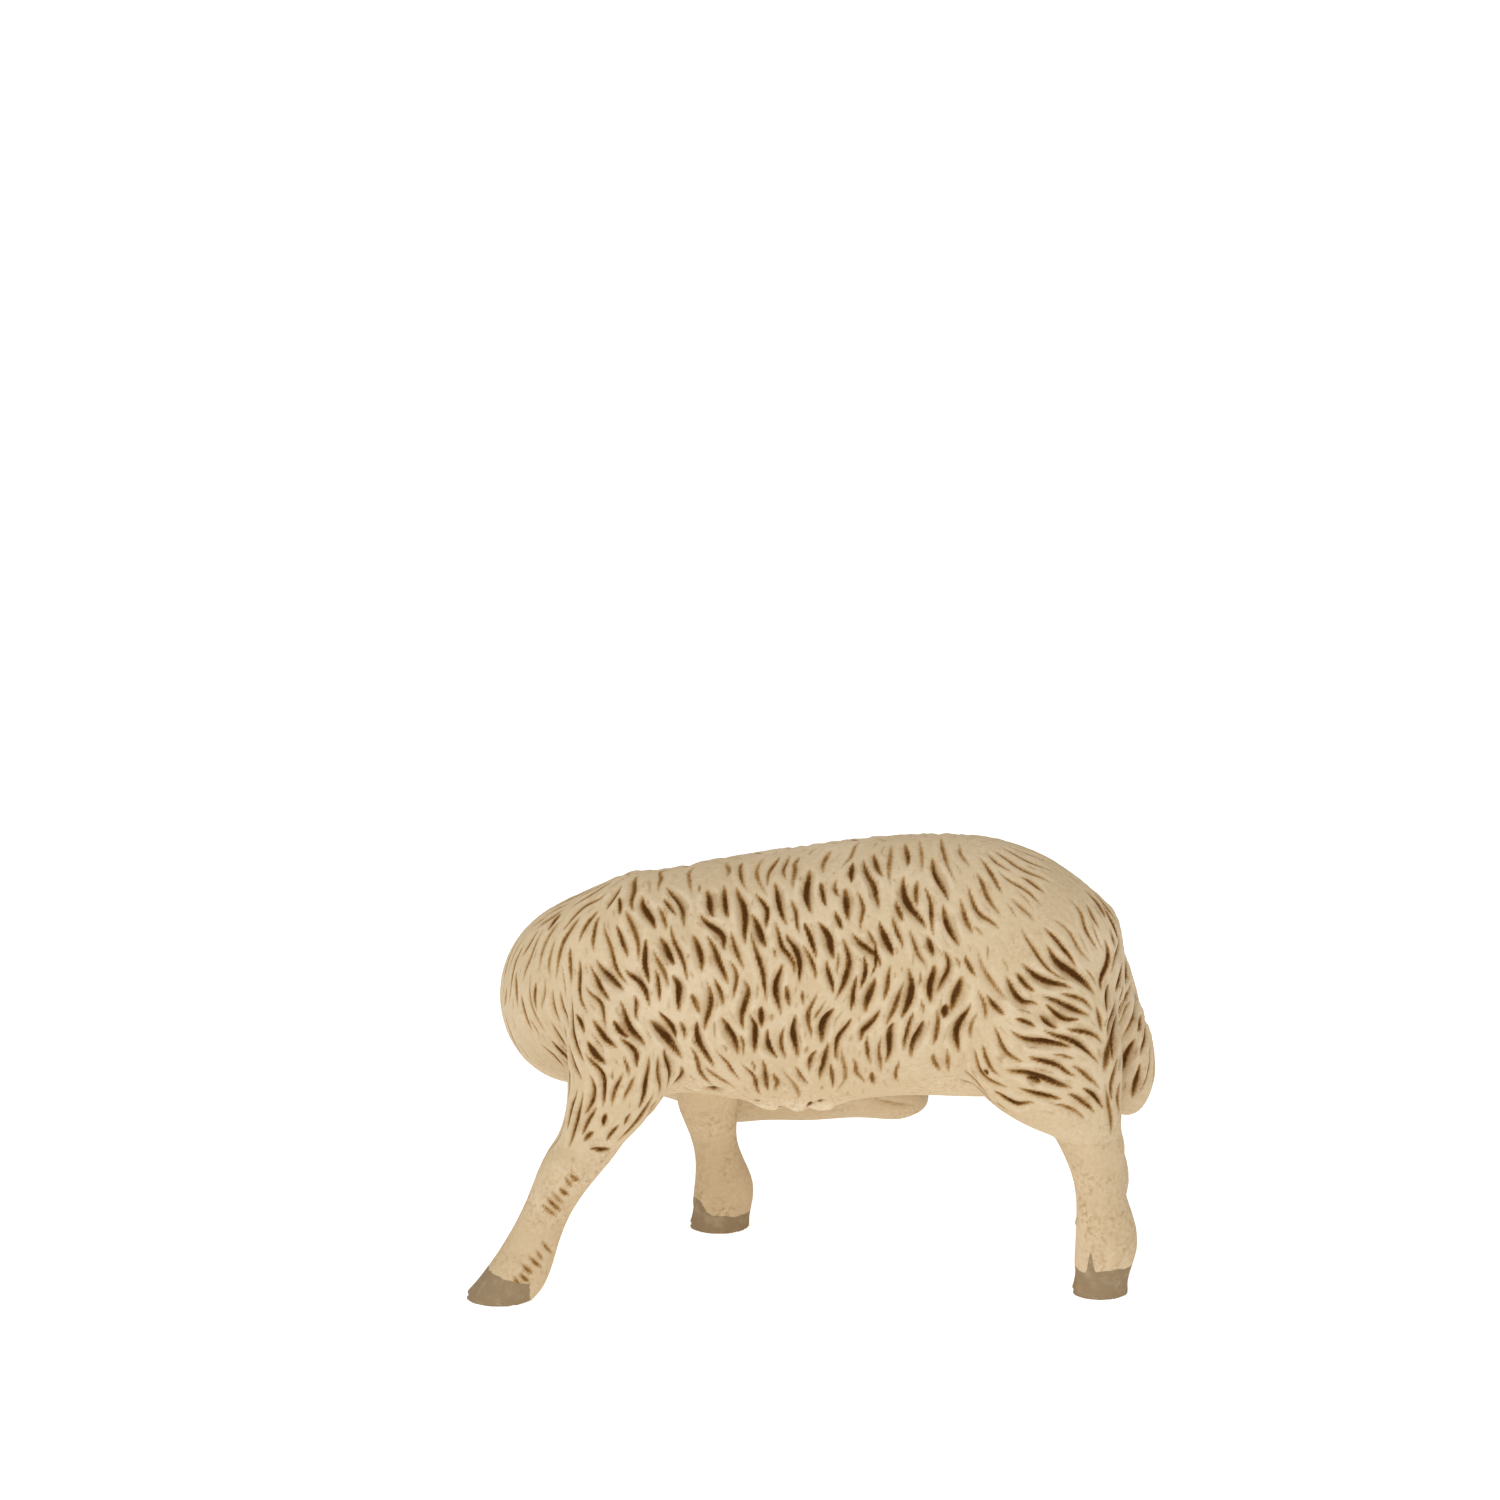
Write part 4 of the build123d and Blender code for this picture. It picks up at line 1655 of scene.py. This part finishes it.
@dataclass
class Figure:
    """The whole sheep: sculpts the skin and cuts it into its castings.

    Attributes:
        voxel: size of the skin's cells, millimetres.
        soften: rounds of smoothing over the joints of the castings.
        crisp: share of that smoothing for castings with fine forms.
        pin_cover: least thickness of the skin over a pin, millimetres.
        cap_sink: how far a piece's hidden cap dips below the skin at most, millimetres.
    """

    voxel: float = 0.215
    soften: int = 34
    crisp: tuple[tuple[str, float], ...] = (("head", 0.25), ("ear_left", 0.03), ("ear_right", 0.03))
    pin_cover: float = 0.2
    cap_sink: float = 2.0

    def build(self) -> None:
        """Sculpts, paints and places every piece."""
        names = list(CASTINGS)
        skin = Skin.from_castings(names + PIN_NODES, self.voxel)
        log.info("skin: %d points", len(skin.points))
        owner = skin.owners(names)
        self._round_off(skin, owner, names)
        spine = float(middle("tail_pin")[1])
        carver = Carver(skin, spine)
        fleece = Fleece(skin, owner, names)
        fleece.lay(carver, spine)
        fleece.carve(carver)
        BellyLocks().carve(fleece, carver)
        for pit in PITS:
            fleece.mark(carver, pit)
        Face().carve(skin, carver)
        LegMarks().carve(fleece, carver)
        hollow_wash_and_shade = self._hollow_wash_and_shade(skin, carver)
        skin.points = skin.points + carver.normal * carver.height()[:, None]
        skin.points[:, 2] = np.maximum(skin.points[:, 2], 0.0)
        self._cover_pins(skin, carver)
        layers = {
            # The wash layer also carries painted shade in the large concave places, mixed with pooled wash.
            Layer.WASH_AND_SHADE: np.maximum(carver.stain(), 0.45 * hollow_wash_and_shade),
            # The rub layer is rubbed-off wash on ridges and lumps, and a painted highlight on them.
            Layer.RUB_AND_HIGHLIGHT: skin.spread(carver.ridge_rub_and_highlight(), 2),
            Layer.BARE: 0.3 + 0.7 * smoothstep(0.6, 0.2, fleece.strength),
            Layer.HOOF: self._hoof_level(skin, owner, names),
        }
        self._split(skin, owner, names, layers, spine)

    def _round_off(self, skin: Skin, owner: np.ndarray, names: list[str]) -> None:
        """Blends the castings into one another, and keeps the soles flat.

        Args:
            skin: the surface.
            owner: number of each vertex's casting.
            names: the castings.
        """
        sole = skin.points[:, 2] < 0.12
        weight = smoothstep(0.2, 2.5, skin.points[:, 2])
        for name, share in self.crisp:
            weight[owner == names.index(name)] *= share
        skin.ease(self.soften, skin.spread(weight, 2))
        crown = smoothstep(0.8, 0.93, skin.normals()[:, 2]) * smoothstep(33.0, 36.0, skin.points[:, 2])
        inside = skin.spread((owner == names.index("neck")).astype(float), 60)
        seam = 4.0 * inside * (1.0 - inside)
        skin.ease(4 * self.soften, skin.spread(np.maximum(crown, seam), 10))
        skin.points[sole, 2] = 0.0

    def _cover_pins(self, skin: Skin, carver: Carver) -> None:
        """Lifts the skin where it lies too close over a pin.

        Args:
            skin: the carved surface.
            carver: holds the outward directions.
        """
        lift = np.zeros(len(skin.points))
        for name in PIN_NODES:
            tree = surface(name)
            for index in close_to(name, skin.points, 1.0):
                spot, outward, _, distance = tree.find_nearest(Vector(skin.points[index]))
                inside = (Vector(skin.points[index]) - spot).dot(outward) < 0
                lift[index] = max(lift[index], self.pin_cover + (distance if inside else -distance))
        lift = np.maximum(lift, skin.spread(lift, 4))
        skin.points = skin.points + carver.normal * lift[:, None]
        log.info("pins: %d points of the skin lifted", int((lift > 0.01).sum()))

    @staticmethod
    def _hollow_wash_and_shade(skin: Skin, carver: Carver) -> np.ndarray:
        """How far each vertex lies in the large concave places of the plain form, where brown wash pools and
        painted shade darkens the creases between the castings.

        Args:
            skin: the surface before it is carved.
            carver: holds the outward directions.

        Returns:
            Shares from 0 to 1.
        """
        inward = ((skin.spread(skin.points, 40) - skin.points) * carver.normal).sum(axis=1)
        return skin.spread(smoothstep(0.04, 0.3, inward), 6)

    @staticmethod
    def _hoof_level(skin: Skin, owner: np.ndarray, names: list[str]) -> np.ndarray:
        """Height of the paint's edge above each vertex.

        Args:
            skin: the surface.
            owner: number of each vertex's casting.
            names: the castings.

        Returns:
            Millimetres, positive inside the paint.
        """
        level = np.full(len(skin.points), -9.0)
        for line in HOOF_LINES:
            leg = owner == names.index(line.leg)
            along, rise, spread = line.run
            edge = line.height + line.slope * (skin.points[leg, 0] - line.middle)
            edge += rise * np.exp(-(((skin.points[leg, 0] - along) / spread) ** 2))
            level[leg] = np.minimum(edge - skin.points[leg, 2], line.heel - skin.points[leg, 0])
        return level

    def _split(
        self, skin: Skin, owner: np.ndarray, names: list[str], layers: dict[Layer, np.ndarray], spine: float
    ) -> None:
        """Cuts the skin into closed pieces: one for each casting, and two for the large torso.

        Args:
            skin: the sculpted surface.
            owner: number of each vertex's casting.
            names: the castings.
            layers: the painted layers.
            spine: the body's middle plane across it, millimetres.
        """
        finishes = {
            Slot.FLEECE: ResinFinish("fleece_resin").build(),
            Slot.FACE: ResinFinish("face_resin").build(),
            # The legs' cream is a shade darker than the body's same resin: painted shade on the legs.
            Slot.LEG: ResinFinish("leg_resin", ground=linear(205, 181, 144), speckle=0.75).build(),
        }
        normal = skin.normals()
        face_owner = np.sort(owner[skin.quads], axis=1)[:, 1]
        left = skin.points[skin.quads, 1].mean(axis=1) < spine
        for number, name in enumerate(names):
            mine = face_owner == number
            parts = {name: mine}
            if name == "torso":
                parts = {"torso_left": mine & left, "torso_right": mine & ~left}
            for title, chosen in parts.items():
                piece = self._piece(title + "_skin", skin, skin.quads[chosen], normal, layers)
                piece.data.materials.append(finishes[CASTINGS[name]])
                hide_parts(name)
                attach(piece, "root")
                log.info("piece %s: %d faces", piece.name, len(piece.data.polygons))

    def _piece(
        self, title: str, skin: Skin, quads: np.ndarray, normal: np.ndarray, layers: dict[Layer, np.ndarray]
    ) -> bpy.types.Object:
        """Makes one piece from some of the skin's faces.

        Args:
            title: the piece's name.
            skin: the sculpted surface.
            quads: the piece's faces.
            normal: outward direction at each of the skin's vertices.
            layers: the painted layers.

        Returns:
            The new object.
        """
        used = np.unique(quads)
        local = np.searchsorted(used, quads)
        points, faces, extra = self._cap(skin.points[used], local, normal[used])
        mesh = bpy.data.meshes.new(title)
        mesh.from_pydata((points * MM).tolist(), [], faces)
        for layer, values in layers.items():
            attribute = mesh.attributes.new(layer.value, "FLOAT", "POINT")
            padded = np.concatenate([values[used], np.zeros(extra)])
            attribute.data.foreach_set("value", padded.astype(np.float32))
        mesh.polygons.foreach_set("use_smooth", np.ones(len(mesh.polygons), bool))
        mesh.update()
        outward = np.concatenate([normal[used], np.tile((0.0, 0.0, 1.0), (extra, 1))])
        shading = mesh.attributes.new("custom_normal", "FLOAT_VECTOR", "POINT")
        shading.data.foreach_set("vector", outward.astype(np.float32).ravel())
        piece = bpy.data.objects.new(title, mesh)
        bpy.context.scene.collection.objects.link(piece)
        return piece

    def _cap(
        self, points: np.ndarray, quads: np.ndarray, normal: np.ndarray
    ) -> tuple[np.ndarray, list[list[int]], int]:
        """Closes the open rims of a piece, inside the figure.

        Args:
            points: the piece's vertices.
            quads: its faces.
            normal: outward direction at each vertex.

        Returns:
            Vertices, faces, and the number of added vertices.
        """
        faces = quads.tolist()
        sides = np.concatenate([quads[:, [k, (k + 1) % 4]] for k in range(4)])
        present = {(int(a), int(b)) for a, b in sides}
        following: dict[int, int] = {b: a for a, b in present if (b, a) not in present}
        added = []
        while following:
            start, ahead = following.popitem()
            loop = [start]
            while ahead in following:
                loop.append(ahead)
                ahead = following.pop(ahead)
            rim = points[loop]
            centre = rim.mean(axis=0)
            dip = np.minimum(self.cap_sink, 0.3 * np.linalg.norm(rim - centre, axis=1))
            first = len(points) + len(added)
            hub = first + len(loop)
            added.extend(rim - dip[:, None] * normal[loop])
            added.append(centre)
            for k, a in enumerate(loop):
                after = (k + 1) % len(loop)
                faces.append([a, loop[after], first + after, first + k])
                faces.append([first + k, first + after, hub])
        if added:
            points = np.vstack([points, np.array(added)])
        return points, faces, len(added)


class Pins:
    """The sealed steel pins, which keep their CAD shape."""

    def dress(self) -> None:
        """Gives each pin its metal."""
        steel = SteelFinish().build()
        for name in PIN_NODES:
            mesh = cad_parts[name].data
            mesh.materials.clear()
            mesh.materials.append(steel)
            log.info("piece %s: steel", name)


@dataclass(frozen=True)
class Lamp:
    """One soft light.

    Attributes:
        name: the light's name.
        place: where it is, metres.
        size: width of its square, metres.
        power: watts.
    """

    name: str
    place: tuple[float, float, float]
    size: float
    power: float

    def build(self) -> None:
        """Adds the light, aimed at the figure."""
        data = bpy.data.lights.new(self.name, "AREA")
        data.shape = "SQUARE"
        data.size = self.size
        data.energy = self.power
        lamp = bpy.data.objects.new(self.name, data)
        lamp.location = self.place
        aim = Vector((0.0, 0.0, 0.022)) - lamp.location
        lamp.rotation_euler = aim.to_track_quat("-Z", "Y").to_euler()
        bpy.context.scene.collection.objects.link(lamp)


@dataclass
class Studio:
    """White floor, soft lights and the camera.

    Attributes:
        elevation: how far the camera looks down, degrees.
        distance: from the camera to the aim point, metres.
        lens: focal length, millimetres on a 36 mm sensor.
        aim: point in the middle of the picture, metres.
        surround: strength of the even light from all sides.
        floor_light: how strongly the floor glows.
        floor_glow: what it adds to that in the camera's view, so that it is white.
        floor_reach: from the figure to the floor's edges, metres.
        floor_drop: how far the floor lies below the soles, metres.
        lamps: the lights.
    """

    elevation: float = 15.5
    distance: float = 0.6
    lens: float = 142.28
    aim: tuple[float, float, float] = (-0.00613, 0.00753, 0.04942)
    surround: float = 0.53
    floor_light: float = 0.4
    floor_glow: float = 0.3
    floor_reach: float = 6.0
    floor_drop: float = 0.00002
    lamps: tuple[Lamp, ...] = (
        Lamp("key", (-0.45, -0.45, 0.8), 0.4, 2.9),
        Lamp("fill", (0.6, -0.5, 0.6), 0.7, 0.9),
        Lamp("low", (0.0, -0.8, 0.1), 0.16, 0.55),
    )

    def build(self) -> None:
        """Sets the stage."""
        scene = bpy.context.scene
        scene.view_settings.view_transform = "Standard"
        self._floor()
        for lamp in self.lamps:
            lamp.build()
        self._world(scene)
        self._camera(scene)

    def _camera(self, scene: bpy.types.Scene) -> None:
        """Adds the camera.

        Args:
            scene: gets it as its camera.
        """
        data = bpy.data.cameras.new("camera")
        data.lens = self.lens
        data.sensor_width = 36.0
        data.clip_start = 0.01
        camera = bpy.data.objects.new("camera", data)
        angle = math.radians(self.elevation)
        back = Vector((0.0, -math.cos(angle), math.sin(angle)))
        camera.location = Vector(self.aim) + back * self.distance
        camera.rotation_euler = (math.radians(90.0 - self.elevation), 0.0, 0.0)
        scene.collection.objects.link(camera)
        scene.camera = camera

    def _floor(self) -> None:
        """Adds the pale floor."""
        mesh = bpy.data.meshes.new("floor")
        far = self.floor_reach
        corners = [(-far, -far, 0), (far, -far, 0), (far, far, 0), (-far, far, 0)]
        mesh.from_pydata(corners, [], [(0, 1, 2, 3)])
        floor = bpy.data.objects.new("floor", mesh)
        floor.location = (0.0, 0.0, -self.floor_drop)
        bpy.context.scene.collection.objects.link(floor)
        material = bpy.data.materials.new("floor_white")
        material.use_nodes = True
        shader = material.node_tree.nodes["Principled BSDF"]
        shader.inputs["Base Color"].default_value = (0.9, 0.9, 0.9, 1.0)
        shader.inputs["Roughness"].default_value = 0.9
        shader.inputs["Specular IOR Level"].default_value = 0.0
        path = material.node_tree.nodes.new("ShaderNodeLightPath")
        glow = material.node_tree.nodes.new("ShaderNodeMath")
        glow.operation = "MULTIPLY_ADD"
        glow.inputs[1].default_value = self.floor_glow
        glow.inputs[2].default_value = self.floor_light
        material.node_tree.links.new(path.outputs["Is Camera Ray"], glow.inputs[0])
        shader.inputs["Emission Color"].default_value = (1.0, 1.0, 1.0, 1.0)
        material.node_tree.links.new(glow.outputs[0], shader.inputs["Emission Strength"])
        mesh.materials.append(material)

    def _world(self, scene: bpy.types.Scene) -> None:
        """Lights the surroundings evenly.

        Args:
            scene: gets the world.
        """
        world = bpy.data.worlds.new("studio")
        world.use_nodes = True
        background = world.node_tree.nodes["Background"]
        background.inputs["Color"].default_value = (1.0, 1.0, 1.0, 1.0)
        background.inputs["Strength"].default_value = self.surround
        scene.world = world


def main() -> None:
    """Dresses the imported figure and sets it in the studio."""
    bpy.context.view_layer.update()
    Figure().build()
    Pins().dress()
    Studio().build()
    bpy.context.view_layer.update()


if __name__ == "__main__":
    main()
